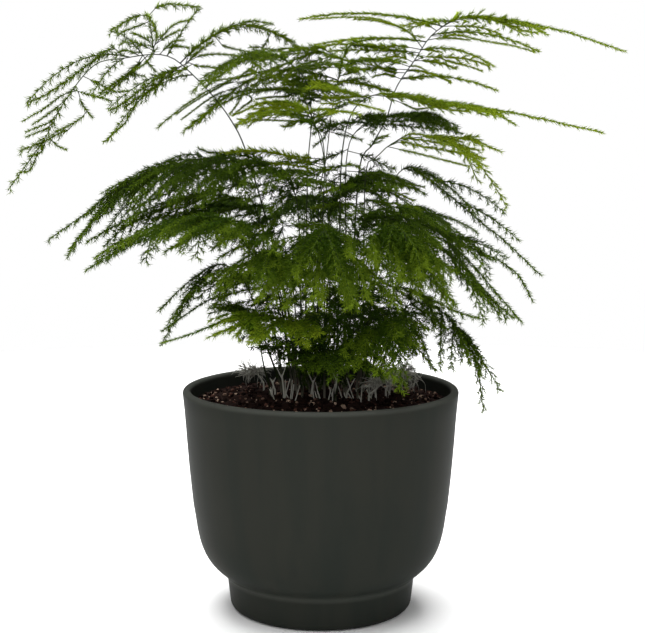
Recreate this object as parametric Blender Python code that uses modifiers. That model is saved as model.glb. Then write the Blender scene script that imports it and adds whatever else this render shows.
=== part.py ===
"""A potted asparagus fern: glazed pot, soil, leafy fronds and the dry growth at their feet.

The sizes below are in millimetres, and MM turns them into Blender's metres. The origin is the
centre of the pot's foot, on the surface that it stands on. The plant leans over +X and -X, and
its front is -Y.
"""

import math
import random

import bmesh
import bpy
import numpy as np
from mathutils import Matrix, Vector

MM = 0.001
CLEARANCE = 0.3

# Pot: a bowl on a narrower foot, turned as one piece.
RIM_RADIUS = 75.5
POT_HEIGHT = 122.5
LIP_RADIUS = 2.3
WALL = 4.6
OUTSIDE = [(74.7, 112.0), (73.4, 94.0), (71.4, 70.0)]
BELLY_TOP = (68.9, 50.0)
BELLY_BEND = ((66.6, 32.0), (62.0, 26.0))
BELLY_END = (52.5, 19.3)
FOOT_TOP = (51.9, 18.2)
FOOT_RADIUS = 50.3
FOOT_EDGE = 4.5
FLOOR = 9.0
TURN_STEPS = 32

# Soil: a rough disc a little below the rim.
SOIL_LEVEL = 114.5
SOIL_EDGE = 70.2
SOIL_RINGS = (58.0, 44.0, 30.0, 15.0)
SOIL_MOUND = 4.5
SOIL_BUMP = 0.9
STEM_END = 109.0
STEM_FREE = 121.0
HOLE_SIDES = 4
HOLE_DEPTH = 20.0
HOLE_EASE = 0.1

# Shoots: three-sided tubes whose sides are raised into needles and side twigs.
STEM_RADII = (1.25, 0.6)
BRANCH_RADII = (0.6, 0.3)
BARE_STEP = 20.0
FIRST_SITE = 4.0
SITE_STEPS = (16.6, 13.5)
SITE_WIDTH = 1.8
NEEDLE = 4.2
TWIG_SWEEP = math.radians(52)
NEEDLE_SWEEP = math.radians(50)
STEM_TWIG = 15.0
ROOM_BETWEEN = 1.5

TONES = {
    "deep": ((0.045, 0.125, 0.018), 0.62),
    "mid": ((0.070, 0.170, 0.018), 0.60),
    "bright": ((0.130, 0.230, 0.022), 0.58),
    "young": ((0.210, 0.300, 0.040), 0.58),
}
DRY_COLOUR = (0.330, 0.320, 0.270)
SOIL_COLOUR = (0.028, 0.016, 0.011)
GLAZE_COLOUR = (0.026, 0.030, 0.026)

# Fronds: tone, roll in degrees, share of the stem that is bare, the stem's points from where it
# leaves the soil, and its side branches. Each branch has its place along the stem, its tip, and
# how far its middle arches above the straight line.
FRONDS = {
    "frond_left_tall": (
        "mid", 50, 0.80,
        [(-14, 16), (-19, 6, 170), (-38, 6, 243), (-50, 5, 270), (-70, 3, 293), (-84, 1, 302),
         (-105, -4, 300), (-120, -8, 296), (-135, -13, 277), (-145, -17, 258), (-164, -22, 231)],
        [(0.56, (-50, 22, 296), 2), (0.60, (-112, -14, 273), 5), (0.59, (-118, 24, 256), 9),
         (0.615, (-11, 18, 305), 16), (0.64, (-66, 12, 327), 1), (0.66, (-92, 6, 324), 0),
         (0.68, (-113, 10, 315), 3), (0.70, (-158, 4, 277), 10), (0.71, (-119, -24, 280), 3)],
    ),
    "frond_right_tall": (
        "bright", 0, 0.72,
        [(14, 20), (17, 10, 170), (21, 11, 240), (28, 12, 254), (36, 12, 269), (41, 12, 285),
         (51, 10, 300), (60, 8, 313), (74, 6, 321), (96, 4, 321), (128, 2, 315), (162, 0, 304)],
        [(0.555, (-4, 24, 289), 2), (0.58, (92, -16, 283), 4), (0.60, (72, 26, 288), 2),
         (0.64, (91, -8, 296), 4), (0.655, (-3, 34, 309), 3), (0.67, (115, -12, 303), 5),
         (0.69, (-11, 4, 321), 5), (0.71, (46, 26, 316), 2), (0.75, (112, 28, 314), 2),
         (0.78, (118, -22, 311), 2)],
    ),
    "frond_middle_tall": (
        "mid", 0, 0.84,
        [(0, 22), (-1, 12, 170), (-1, 12, 224), (3, 10, 247), (6, 8, 273), (9, 6, 287),
         (12, 4, 300), (17, 3, 308), (30, 0, 311)],
        [(0.78, (-72, -14, 262), 14), (0.80, (-38, 30, 290), 6), (0.84, (-90, 18, 263), 16),
         (0.87, (44, -24, 297), 3), (0.89, (-30, 12, 304), 4), (0.93, (56, 22, 302), 1)],
    ),
    "frond_right_long": (
        "bright", 0, 0.60,
        [(8, 6), (10, -8, 180), (11, -10, 245), (17, -12, 272), (30, -13, 281), (46, -14, 279),
         (64, -15, 276), (97, -16, 272), (148, -18, 261)],
        [(0.58, (-6, -24, 284), 2), (0.62, (68, 18, 274), 2), (0.68, (90, -40, 269), 2),
         (0.75, (104, 6, 266), 2)],
    ),
    "frond_left_band": (
        "bright", 0, 0.80,
        [(-4, 4), (-1, -8, 180), (2, -8, 248), (-4, -10, 266), (-12, -10, 275), (-28, -12, 277),
         (-46, -14, 270)],
        [(0.80, (-42, -34, 266), 3), (0.84, (-46, 10, 264), 3), (0.78, (20, -30, 270), 3)],
    ),
    "frond_back_high": (
        "deep", 0, 0.70,
        [(4, 28), (5, 22, 180), (2, 26, 245), (-6, 30, 272), (-14, 36, 287), (-26, 48, 292),
         (-40, 66, 286)],
        [(0.70, (26, 62, 279), 4), (0.78, (-62, 40, 278), 5), (0.82, (-6, 84, 280), 5)],
    ),
    "frond_right_dark": (
        "deep", 0, 0.74,
        [(12, 14), (14, 6, 180), (14, 12, 245), (22, 14, 264), (40, 20, 270), (60, 18, 268),
         (78, 16, 260)],
        [(0.74, (-4, 38, 260), 3), (0.80, (66, 44, 262), 4), (0.84, (72, -6, 262), 3)],
    ),
    "frond_right_young": (
        "young", 0, 0.80,
        [(22, 8), (23, -6, 170), (24, -8, 238), (30, -9, 248), (40, -10, 256), (60, -12, 259),
         (80, -13, 257), (95, -14, 251)],
        [(0.82, (82, -40, 243), 3), (0.84, (102, 12, 220), 8), (0.90, (80, -30, 254), 2)],
    ),
    "frond_right_arc_high": (
        "deep", 20, 0.58,
        [(24, 18), (28, 10, 170), (35, 14, 215), (41, 15, 236), (49, 16, 242), (60, 16, 235),
         (74, 15, 224), (88, 14, 212), (102, 12, 201), (121, 10, 183)],
        [(0.60, (74, 56, 224), 4), (0.62, (84, 0, 217), 4), (0.66, (103, 26, 216), 5),
         (0.74, (112, 36, 200), 3)],
    ),
    "frond_right_arc_mid": (
        "deep", 10, 0.52,
        [(20, 12), (26, 0, 160), (35, 0, 202), (48, -2, 212), (66, -4, 207), (84, -6, 198),
         (97, -7, 192), (107, -8, 184), (114, -9, 171)],
        [(0.54, (52, -40, 206), 3), (0.58, (66, 40, 206), 4), (0.64, (84, -36, 193), 4),
         (0.72, (104, 22, 190), 3)],
    ),
    "frond_right_arc_low": (
        "deep", 10, 0.50,
        [(26, 4), (32, -10, 150), (44, -14, 190), (60, -18, 206), (76, -20, 196),
         (92, -24, 178), (106, -26, 162)],
        [(0.54, (50, -62, 184), 6), (0.60, (101, -4, 160), 5), (0.68, (84, -50, 164), 4),
         (0.60, (56, -40, 196), 4)],
    ),
    "frond_right_droop": (
        "deep", 60, 0.45,
        [(30, 14), (36, 8, 140), (46, 0, 166), (60, -4, 168), (74, -8, 156), (84, -12, 136),
         (88, -14, 112)],
        [(0.50, (66, 40, 150), 6), (0.58, (62, -42, 140), 5), (0.70, (96, -20, 124), 2)],
    ),
    "frond_front_right": (
        "mid", 0, 0.50,
        [(14, -2), (18, -20, 160), (26, -30, 200), (36, -44, 214), (46, -60, 206),
         (52, -74, 186)],
        [(0.56, (8, -62, 198), 7), (0.62, (70, -50, 190), 5), (0.70, (36, -86, 178), 4),
         (0.78, (66, -74, 176), 3)],
    ),
    "frond_front_middle": (
        "mid", 0, 0.50,
        [(2, -6), (2, -26, 160), (2, -38, 204), (2, -54, 212), (-2, -72, 196), (-4, -84, 176)],
        [(0.56, (36, -66, 180), 1), (0.60, (-24, -66, 206), 4), (0.72, (16, -88, 178), 4),
         (0.76, (-24, -80, 178), 3)],
    ),
    "frond_front_low_right": (
        "mid", 0, 0.45,
        [(20, -8), (25, -22, 135), (30, -40, 158), (36, -52, 164), (40, -64, 152),
         (40, -72, 133)],
        [(0.52, (12, -68, 152), 5), (0.60, (55, -60, 162), 4), (0.70, (28, -82, 144), 3)],
    ),
    "frond_front_low_left": (
        "bright", 0, 0.45,
        [(-10, -6), (-12, -20, 135), (-16, -38, 160), (-26, -48, 168), (-40, -54, 165),
         (-57, -58, 158)],
        [(0.52, (0, -62, 160), 4), (0.60, (-34, -78, 158), 3), (0.70, (-58, -32, 160), 3)],
    ),
    "frond_left_mid_high": (
        "deep", -10, 0.52,
        [(-16, 10), (-22, -2, 170), (-36, -2, 222), (-54, -2, 240), (-80, -2, 244),
         (-104, -4, 234), (-126, -6, 218), (-146, -8, 204)],
        [(0.52, (-38, -44, 226), 6), (0.56, (-60, 46, 230), 6), (0.62, (-100, -40, 214), 5),
         (0.68, (-118, 32, 218), 5), (0.74, (-131, -30, 201), 3)],
    ),
    "frond_left_mid_low": (
        "deep", -10, 0.50,
        [(-20, 2), (-26, -14, 160), (-38, -20, 200), (-56, -24, 212), (-80, -28, 210),
         (-102, -30, 202), (-122, -32, 190)],
        [(0.56, (-64, 14, 204), 4), (0.62, (-94, -8, 214), 4), (0.74, (-112, -2, 196), 3)],
    ),
    "frond_left_low": (
        "deep", -10, 0.48,
        [(-22, 12), (-30, 6, 145), (-40, 0, 178), (-54, -2, 190), (-70, -4, 182),
         (-88, -6, 165)],
        [(0.52, (-44, 42, 176), 6), (0.58, (-50, -40, 176), 5), (0.66, (-86, 20, 154), 4),
         (0.70, (-84, -28, 150), 3)],
    ),
    "frond_back_left": (
        "deep", 0, 0.50,
        [(-12, 26), (-20, 24, 160), (-34, 40, 210), (-52, 56, 224), (-74, 72, 216),
         (-92, 84, 198)],
        [(0.56, (-34, 92, 214), 6), (0.60, (-86, 40, 212), 6), (0.70, (-66, 98, 202), 4)],
    ),
    "frond_back_middle": (
        "deep", 0, 0.50,
        [(-2, 32), (-4, 34, 165), (-6, 54, 214), (-8, 76, 224), (-10, 100, 208),
         (-12, 116, 188)],
        [(0.56, (30, 76, 214), 6), (0.60, (-40, 102, 204), 4), (0.72, (16, 112, 200), 4)],
    ),
    "frond_back_right": (
        "deep", 0, 0.50,
        [(14, 30), (24, 30, 160), (38, 46, 206), (56, 64, 218), (74, 82, 206), (86, 96, 186)],
        [(0.56, (22, 84, 208), 6), (0.60, (90, 48, 204), 6), (0.72, (64, 104, 196), 4)],
    ),
    "frond_back_low": (
        "mid", 0, 0.45,
        [(6, 36), (10, 46, 140), (14, 58, 166), (16, 76, 168), (18, 94, 150)],
        [(0.55, (48, 68, 158), 5), (0.62, (-20, 84, 156), 5)],
    ),
    "frond_middle_second": (
        "mid", 0, 0.78,
        [(-8, 12), (-8, -1, 180), (-7, -1, 240), (-5, -2, 270), (-9, -4, 290), (-24, -6, 301),
         (-44, -8, 297), (-62, -10, 284)],
        [(0.77, (22, -22, 293), 3), (0.80, (-34, -36, 290), 6), (0.84, (-36, 26, 299), 4),
         (0.89, (-66, -34, 281), 4)],
    ),
    "frond_left_upper": (
        "deep", 0, 0.55,
        [(-10, 6), (-11, -9, 180), (-13, -12, 226), (-24, -14, 241), (-44, -16, 247),
         (-66, -18, 247), (-86, -20, 241), (-102, -22, 231)],
        [(0.56, (8, -42, 232), 5), (0.60, (-40, -56, 234), 6), (0.64, (-64, 20, 246), 5),
         (0.72, (-76, -54, 226), 4), (0.80, (-96, -48, 226), 3)],
    ),
    "frond_left_front": (
        "mid", -10, 0.52,
        [(-13, -2), (-20, -26, 160), (-34, -42, 206), (-52, -52, 218), (-76, -58, 216),
         (-98, -62, 208), (-113, -64, 199)],
        [(0.56, (-22, -76, 202), 4), (0.62, (-68, -88, 210), 4), (0.70, (-86, -38, 206), 3),
         (0.76, (-96, -80, 207), 3)],
    ),
    "frond_centre_high": (
        "deep", 0, 0.56,
        [(1, 10), (4, -2, 180), (6, 2, 222), (18, 6, 236), (36, 8, 238), (54, 10, 230)],
        [(0.58, (-30, 22, 232), 5), (0.64, (26, 46, 236), 4), (0.68, (40, -26, 232), 4),
         (0.78, (60, 34, 226), 3)],
    ),
    "frond_centre_mid": (
        "deep", 0, 0.54,
        [(13, 3), (16, -12, 165), (20, -18, 208), (32, -24, 221), (48, -28, 221), (66, -32, 210)],
        [(0.57, (-14, -38, 214), 5), (0.64, (36, 4, 228), 3), (0.72, (62, -52, 204), 3)],
    ),
    "frond_front_left": (
        "mid", 0, 0.52,
        [(-6, -2), (-12, -24, 155), (-16, -38, 190), (-26, -54, 202), (-42, -66, 196),
         (-52, -74, 182)],
        [(0.56, (-8, -72, 190), 5), (0.62, (-58, -54, 188), 4), (0.70, (-30, -88, 184), 4)],
    ),
    "frond_core_front": (
        "deep", 0, 0.42,
        [(8, -18), (9, -29, 128), (11, -42, 146), (18, -54, 152), (26, -66, 142)],
        [(0.46, (-16, -54, 144), 4), (0.54, (34, -46, 136), 3), (0.66, (6, -76, 140), 3)],
    ),
    "frond_core_left": (
        "deep", 0, 0.42,
        [(-28, 6), (-31, -2, 134), (-35, -11, 157), (-44, -13, 168), (-60, -16, 165)],
        [(0.52, (-36, -40, 162), 3), (0.60, (-58, 14, 171), 3), (0.66, (-58, -34, 170), 3)],
    ),
    "frond_core_right": (
        "deep", 20, 0.42,
        [(32, 24), (35, 19, 132), (39, 12, 152), (45, 9, 161), (54, 4, 150), (61, 0, 134)],
        [(0.46, (48, -14, 144), 3), (0.54, (46, 38, 150), 4), (0.64, (58, 24, 152), 3)],
    ),
}

# Dry sprays: withered tufts low on the soil, written like the fronds.
DRY_SPRAYS = {
    "dry_spray_left": (
        [(-32, 20), (-34, 20, 124), (-38, 19, 129), (-43, 18, 130)],
        [(0.45, (-36, 8, 131), 1), (0.70, (-42, 25, 125), 1)],
    ),
    "dry_spray_right": (
        [(36, 6), (40, 5, 124), (45, 3, 129), (51, 1, 130)],
        [(0.45, (37, -4, 130), 2), (0.60, (52, 10, 131), 1), (0.75, (50, -6, 124), 1)],
    ),
    "dry_spray_front": (
        [(26, -14), (29, -15, 123), (33, -16, 127), (38, -18, 128)],
        [(0.50, (24, -24, 126), 2), (0.70, (40, -12, 130), 1)],
    ),
}

# Stubs of old stems, cut short: where each stands and how high its top is.
DRY_STEMS = {
    "dry_stem_1": ((-25, -2), (-27, -3, 127)),
    "dry_stem_2": ((-20, -9), (-21, -11, 131)),
    "dry_stem_3": ((-5, -10), (-4, -12, 128)),
    "dry_stem_4": ((8, -11), (9, -13, 133)),
    "dry_stem_5": ((14, -13), (16, -15, 125)),
    "dry_stem_6": ((30, -2), (33, -4, 129)),
}


def clear_scene():
    for thing in list(bpy.data.objects):
        bpy.data.objects.remove(thing, do_unlink=True)


def collection(name):
    group = bpy.data.collections.new(name)
    bpy.context.scene.collection.children.link(group)
    return group


def material(name, colour, roughness, coat=0.0):
    surface = bpy.data.materials.new(name)
    surface.use_nodes = True
    settings = surface.node_tree.nodes["Principled BSDF"].inputs
    settings["Base Color"].default_value = (*colour, 1.0)
    settings["Roughness"].default_value = roughness
    settings["Metallic"].default_value = 0.0
    settings["Coat Weight"].default_value = coat
    surface.diffuse_color = (*colour, 1.0)
    return surface


def new_object(name, mesh, group, surface=None):
    thing = bpy.data.objects.new(name, mesh)
    group.objects.link(thing)
    if surface:
        mesh.materials.append(surface)
    return thing


def bezier(start, bends, end, count):
    """Points along a cubic curve, without its start."""
    points = []
    for i in range(1, count + 1):
        t = i / count
        weights = ((1 - t) ** 3, 3 * t * (1 - t) ** 2, 3 * t * t * (1 - t), t ** 3)
        points.append(tuple(
            sum(w * p[axis] for w, p in zip(weights, (start, *bends, end))) for axis in (0, 1)
        ))
    return points


def arc(centre, radius, first, last, count):
    """Points along an arc, both ends included; angles in degrees from +X."""
    angles = [math.radians(first + (last - first) * i / count) for i in range(count + 1)]
    return [
        (centre[0] + radius * math.cos(a), centre[1] + radius * math.sin(a)) for a in angles
    ]


def turned(name, profile, group, surface):
    """A solid of revolution from (radius, height) points that start and end on the axis."""
    mesh = bpy.data.meshes.new(name)
    points = [(x * MM, 0, z * MM) for x, z in profile]
    mesh.from_pydata(points, [(i, i + 1) for i in range(len(points) - 1)], [])
    thing = new_object(name, mesh, group, surface)
    screw = thing.modifiers.new("Turn", "SCREW")
    screw.steps = screw.render_steps = TURN_STEPS
    screw.use_merge_vertices = True
    screw.merge_threshold = 0.0001
    return thing


def wall_inside(shrink):
    """The pot's hollow from the axis up to just under the lip, drawn in by a clearance."""
    floor = FLOOR + shrink
    return [
        (0, floor),
        (44 - shrink, floor),
        (59.5 - shrink, 33),
        (65.5 - shrink, 72),
        (RIM_RADIUS - WALL - shrink, POT_HEIGHT - LIP_RADIUS - 4),
    ]


def make_pot(group):
    lip = (RIM_RADIUS - LIP_RADIUS, POT_HEIGHT - LIP_RADIUS)
    profile = wall_inside(0)
    profile += arc(lip, LIP_RADIUS, 180, 0, 4)
    profile += OUTSIDE + [BELLY_TOP]
    profile += bezier(BELLY_TOP, BELLY_BEND, BELLY_END, 4)
    profile += [FOOT_TOP]
    profile += arc((FOOT_RADIUS - FOOT_EDGE, FOOT_EDGE), FOOT_EDGE, 0, -90, 2)
    profile += [(0, 0)]
    surface = material("pot_glaze", GLAZE_COLOUR, 0.42, 0.25)
    return turned("pot", profile, group, surface)


def soil_height(x, y):
    """Level of the soil: a low mound with small crumbly bumps, flat where it meets the wall."""
    inward = max(0.0, 1 - math.hypot(x, y) / SOIL_RINGS[0])
    bumps = math.sin(0.31 * x + 1.3) * math.cos(0.27 * y - 0.4) + math.sin(0.53 * x - 0.47 * y)
    return SOIL_LEVEL + SOIL_MOUND * inward + SOIL_BUMP * bumps * min(1.0, 4 * inward)


def make_soil(group, feet):
    """The soil, with a plain hole for each stem; feet holds (x, y, radius) of the stems."""
    profile = wall_inside(CLEARANCE)
    profile[-1] = (SOIL_EDGE - CLEARANCE, SOIL_LEVEL)
    profile += [(r, SOIL_LEVEL) for r in SOIL_RINGS] + [(0, SOIL_LEVEL)]
    profile.reverse()
    surface = material("soil_earth", SOIL_COLOUR, 0.95)
    rough = turned("soil", profile, group, surface)
    mesh = evaluated_mesh(rough)
    for vertex in mesh.vertices:
        x, y, z = vertex.co / MM
        if z > SOIL_LEVEL - 1:
            vertex.co.z = soil_height(x, y) * MM
    rough.modifiers.clear()
    rough.data = mesh
    cutters = collection("soil_cutters")
    for index, (x, y, radius) in enumerate(feet):
        bm = bmesh.new()
        middle = STEM_END - CLEARANCE + HOLE_DEPTH / 2
        place = Matrix.Translation(Vector((x, y, middle)) * MM)
        wide = (radius + CLEARANCE + HOLE_EASE) / math.cos(math.pi / HOLE_SIDES)
        bmesh.ops.create_cone(bm, cap_ends=True, segments=HOLE_SIDES, radius1=wide * MM,
                              radius2=wide * MM, depth=HOLE_DEPTH * MM, matrix=place)
        cutter = new_object(f"soil_hole_{index}", bpy.data.meshes.new("soil_hole"), cutters)
        bm.to_mesh(cutter.data)
        bm.free()
        cutter.hide_render = True
        cutter.display_type = "WIRE"
    combine(rough, cutters, "DIFFERENCE", "EXACT")
    return rough


def evaluated_mesh(thing):
    graph = bpy.context.evaluated_depsgraph_get()
    return bpy.data.meshes.new_from_object(thing.evaluated_get(graph))


def combine(thing, others, operation, solver):
    """Applies one Boolean of a whole collection to an object and removes the collection."""
    boolean = thing.modifiers.new("Join", "BOOLEAN")
    boolean.operation = operation
    boolean.operand_type = "COLLECTION"
    boolean.collection = others
    boolean.solver = solver
    mesh = evaluated_mesh(thing)
    thing.modifiers.clear()
    thing.data = mesh
    for other in list(others.objects):
        bpy.data.objects.remove(other, do_unlink=True)
    bpy.data.collections.remove(others)


def even_points(line, step):
    """Evenly spaced points along a polyline."""
    lengths = np.r_[0, np.cumsum(np.linalg.norm(np.diff(line, axis=0), axis=1))]
    count = max(3, round(lengths[-1] / step) + 1)
    grid = np.linspace(0, lengths[-1], count)
    return np.stack([np.interp(grid, lengths, line[:, axis]) for axis in range(3)], 1)


def smooth_line(points):
    """A dense line on the smooth curve through the given points."""
    given = np.array(points, float)
    padded = np.vstack([2 * given[0] - given[1], given, 2 * given[-1] - given[-2]])
    line = []
    for a, b, c, d in zip(padded[:-3], padded[1:-2], padded[2:-1], padded[3:]):
        for t in np.linspace(0, 1, 12, endpoint=False):
            line.append(0.5 * (2 * b + (c - a) * t + (2 * a - 5 * b + 4 * c - d) * t ** 2
                               + (3 * b - a - 3 * c + d) * t ** 3))
    return even_points(np.array(line + [given[-1]]), 1.0)


def stem_line(points):
    """The stem's curve from just above the soil."""
    (x, y), *rest = points
    return smooth_line([(x, y, STEM_FREE)] + rest)


def branch_line(stem, share, tip, arch):
    """An arched line from a place along the stem to the branch's tip."""
    root = stem[round(share * (len(stem) - 1))]
    t = np.linspace(0, 1, 40)[:, None]
    line = root + (np.array(tip) - root) * t
    line[:, 2:] += 4 * arch * t * (1 - t)
    return even_points(line, 1.0)


def leafy_rings(line):
    """Rings in pairs, with a site for needles between the two of each pair, closer to the tip."""
    total = float(len(line) - 1)
    marks = [0.0]
    at = FIRST_SITE
    while at < total - SITE_WIDTH - 1:
        marks += [at, at + SITE_WIDTH]
        at += SITE_STEPS[0] + (SITE_STEPS[1] - SITE_STEPS[0]) * at / total
    marks.append(total)
    places = np.arange(len(line))
    points = np.stack([np.interp(marks, places, line[:, axis]) for axis in range(3)], 1)
    return points, list(range(1, len(marks) - 2, 2))


def stem_rings(line, bare):
    """An upright foot in the soil, wide steps along the bare stem, then leafy ones."""
    foot = line[0] * (1, 1, 0) + (0, 0, STEM_END)
    split = round(bare * (len(line) - 1))
    low = even_points(line[:split + 1], BARE_STEP)
    high, sites = leafy_rings(line[split:])
    return np.vstack([foot, low[:-1], high]), [len(low) + site for site in sites]


class Axes:
    """Directions along a line: forward, upward across it, and sideways to its left."""

    def __init__(self, points, roll):
        steps = np.gradient(points, axis=0)
        self.forward = steps / np.linalg.norm(steps, axis=1)[:, None]
        self.upward = np.zeros_like(points)
        last = np.array((0.0, 0.0, 1.0))
        for i in reversed(range(len(points))):
            last = last - self.forward[i] * (last @ self.forward[i])
            last = last / np.linalg.norm(last)
            self.upward[i] = last
        self.sideways = np.cross(self.upward, self.forward)
        turn = math.radians(roll)
        up, side = self.upward, self.sideways
        self.upward = math.cos(turn) * up + math.sin(turn) * side
        self.sideways = math.cos(turn) * side - math.sin(turn) * up


class Room:
    """Remembers where shoots run, in a grid, so that later ones keep clear of them."""

    def __init__(self, size):
        self.size = size
        self.cells = {}

    def cell(self, point):
        return tuple(int(math.floor(c / self.size)) for c in point)

    def take(self, points, owner):
        for point in points:
            self.cells.setdefault(self.cell(point), []).append((point, owner))

    def is_free(self, points, gap, spared):
        """Whether nothing lies within the gap, apart from what the spared test lets by."""
        near = [(a, b, c) for a in (-1, 0, 1) for b in (-1, 0, 1) for c in (-1, 0, 1)]
        for point in points:
            i, j, k = self.cell(point)
            for a, b, c in near:
                for other, owner in self.cells.get((i + a, j + b, k + c), ()):
                    if np.linalg.norm(point - other) < gap and not spared(owner):
                        return False
        return True


def twig_length(share, longest):
    """Side twigs are short at both ends of a branch and longest near its root."""
    opening = min(1.0, 0.45 + 3.5 * share)
    return 2.5 + (longest - 2.5) * opening * (1 - share) ** 0.75


class Shoot:
    """One tapering tube with its needles and twigs, worked out before it is meshed."""

    def __init__(self, name, points, radii, roll, sites, longest):
        self.name = name
        self.points = points
        self.radii = np.linspace(*radii, len(points))
        self.axes = Axes(points, roll)
        self.sites = sites
        self.longest = longest
        self.spikes = {}

    def core_samples(self):
        """(ring, points) of short stretches of the core."""
        for k in range(len(self.points) - 1):
            length = np.linalg.norm(self.points[k + 1] - self.points[k])
            t = np.linspace(0, 1, max(2, int(length / 1.1) + 1))[:, None]
            yield k, self.points[k] * (1 - t) + self.points[k + 1] * t

    def add_spike(self, room, k, side, reach, lift):
        """Raises one side of ring k, shorter where another shoot is in its way."""
        middle = (self.points[k] + self.points[k + 1]) / 2
        forward, upward = self.axes.forward[k], self.axes.upward[k]
        outward = side * self.axes.sideways[k] if side else -upward
        sweep = TWIG_SWEEP if reach > NEEDLE else NEEDLE_SWEEP
        heading = math.cos(sweep) * forward + math.sin(sweep) * outward + lift * upward
        heading = heading / np.linalg.norm(heading)

        def own(owner):
            return owner[0] == self.name and abs(owner[1] - k) < 2

        for share in (1.0, 0.75, 0.5, 0.3):
            length = reach * share
            if length < 2.5:
                return
            steps = np.arange(1.4, length + 0.5, 1.1)
            samples = middle + steps[:, None] * heading
            if room.is_free(samples, ROOM_BETWEEN, own):
                room.take(samples, (self.name, k))
                self.spikes[k, side] = middle + heading * length
                return

    def grow(self, room, draw):
        """A twig to each side of every site and a needle beneath it."""
        for number, k in enumerate(self.sites):
            share = number / len(self.sites)
            for side in (-1, 1):
                reach = twig_length(share, self.longest) * draw.uniform(0.8, 1.1)
                self.add_spike(room, k, side, max(reach, NEEDLE), draw.uniform(-0.15, 0.15))
            self.add_spike(room, k, 0, NEEDLE * draw.uniform(0.85, 1.1), 0.0)

    def ring_place(self, k):
        """Matrix that sets a ring of radius 1 across the line at point k."""
        columns = (self.axes.sideways[k], self.axes.upward[k], self.axes.forward[k])
        turn = Matrix([list(row) for row in zip(*columns)]).to_4x4()
        size = Matrix.Diagonal((self.radii[k], self.radii[k], self.radii[k], 1.0))
        return Matrix.Translation(self.points[k]) @ turn @ size

    def side_of(self, face, k):
        """1 for a face to the left, -1 to the right, 0 beneath."""
        middle = (self.points[k] + self.points[k + 1]) / 2
        out = np.array(face.calc_center_median()) - middle
        if out @ self.axes.upward[k] < -0.5 * np.linalg.norm(out):
            return 0
        return 1 if out @ self.axes.sideways[k] > 0 else -1

    def mesh(self):
        """A triangle is drawn out along the line, and its raised sides are poked to a point."""
        bm = bmesh.new()
        bmesh.ops.create_circle(bm, cap_ends=True, segments=3, radius=1.0,
                                matrix=self.ring_place(0))
        end = bm.faces[:][0]
        raised = []
        for k in range(len(self.points) - 1):
            drawn = bmesh.ops.extrude_face_region(bm, geom=[end])["geom"]
            if k:
                bmesh.ops.delete(bm, geom=[end], context="FACES_ONLY")
            end = next(part for part in drawn if isinstance(part, bmesh.types.BMFace))
            move = self.ring_place(k + 1) @ self.ring_place(k).inverted()
            bmesh.ops.transform(bm, matrix=move, verts=end.verts)
            for edge in end.edges:
                side = next(face for face in edge.link_faces if face is not end)
                tip = self.spikes.get((k, self.side_of(side, k)))
                if tip is not None:
                    raised.append((side, tip))
        raised.append((end, self.points[-1] + self.axes.forward[-1] * NEEDLE * 0.7))
        for face, tip in raised:
            bmesh.ops.poke(bm, faces=[face])["verts"][0].co = tip
        bmesh.ops.triangulate(bm, faces=bm.faces[:])
        bmesh.ops.recalc_face_normals(bm, faces=bm.faces[:])
        bmesh.ops.scale(bm, vec=(MM, MM, MM), verts=bm.verts[:])
        mesh = bpy.data.meshes.new(self.name)
        bm.to_mesh(mesh)
        bm.free()
        return mesh


def frond_shoots(name, stem_points, bare, roll, side_branches, draw):
    """The stem and its side branches, sunk into it."""
    rings, sites = stem_rings(stem_line(stem_points), bare)
    line = even_points(rings, 1.0)
    shoots = [Shoot(name, rings, STEM_RADII, roll, sites, STEM_TWIG)]
    for index, (share, tip, arch) in enumerate(side_branches):
        branch = branch_line(line, share, tip, arch)
        points, sites = leafy_rings(branch)
        longest = min(STEM_TWIG, 4.0 + 0.16 * len(branch))
        tilt = roll + draw.uniform(-15, 15)
        shoots.append(Shoot(f"{name}_{index}", points, BRANCH_RADII, tilt, sites, longest))
    return shoots


def join_shoots(name, shoots, group, surface):
    stem = new_object(name, shoots[0].mesh(), group, surface)
    if len(shoots) > 1:
        others = collection(f"{name}_parts")
        for shoot in shoots[1:]:
            new_object(shoot.name, shoot.mesh(), others, surface)
        combine(stem, others, "UNION", "MANIFOLD")
    return stem


def plan_plants():
    """Tone, shoots and random draw of each node of the plant."""
    plants = {}
    for number, (name, (tone, roll, bare, points, branches)) in enumerate(FRONDS.items()):
        draw = random.Random(100 + number)
        plants[name] = (tone, frond_shoots(name, points, bare, roll, branches, draw), draw)
    for number, (name, (points, branches)) in enumerate(DRY_SPRAYS.items()):
        draw = random.Random(200 + number)
        plants[name] = ("dry", frond_shoots(name, points, 0.5, 0, branches, draw), draw)
    for number, (name, ((x, y), top)) in enumerate(DRY_STEMS.items()):
        points = np.array([(x, y, STEM_END), (x, y, STEM_FREE), top], float)
        stub = Shoot(name, points, (1.1, 0.8), 0, [], 0)
        plants[name] = ("dry", [stub], random.Random(300 + number))
    return plants


def make_plant(group):
    """All leafy and dry growth. Every core is placed before any needle, so none is crossed."""
    surfaces = {tone: material(f"leaf_{tone}", *look) for tone, look in TONES.items()}
    surfaces["dry"] = material("dry_growth", DRY_COLOUR, 0.85)
    plants = plan_plants()
    room = Room(3.0)
    for tone, shoots, draw in plants.values():
        for shoot in shoots:
            for k, samples in shoot.core_samples():
                room.take(samples, (shoot.name, k))
    for name, (tone, shoots, draw) in plants.items():
        for shoot in shoots:
            shoot.grow(room, draw)
        join_shoots(name, shoots, group, surfaces[tone])
    return [
        (*shoots[0].points[0][:2], shoots[0].radii[0]) for tone, shoots, draw in plants.values()
    ]


def main():
    clear_scene()
    group = collection("potted_asparagus_fern")
    make_pot(group)
    feet = make_plant(group)
    make_soil(group, feet)


if __name__ == "__main__":
    main()
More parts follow.
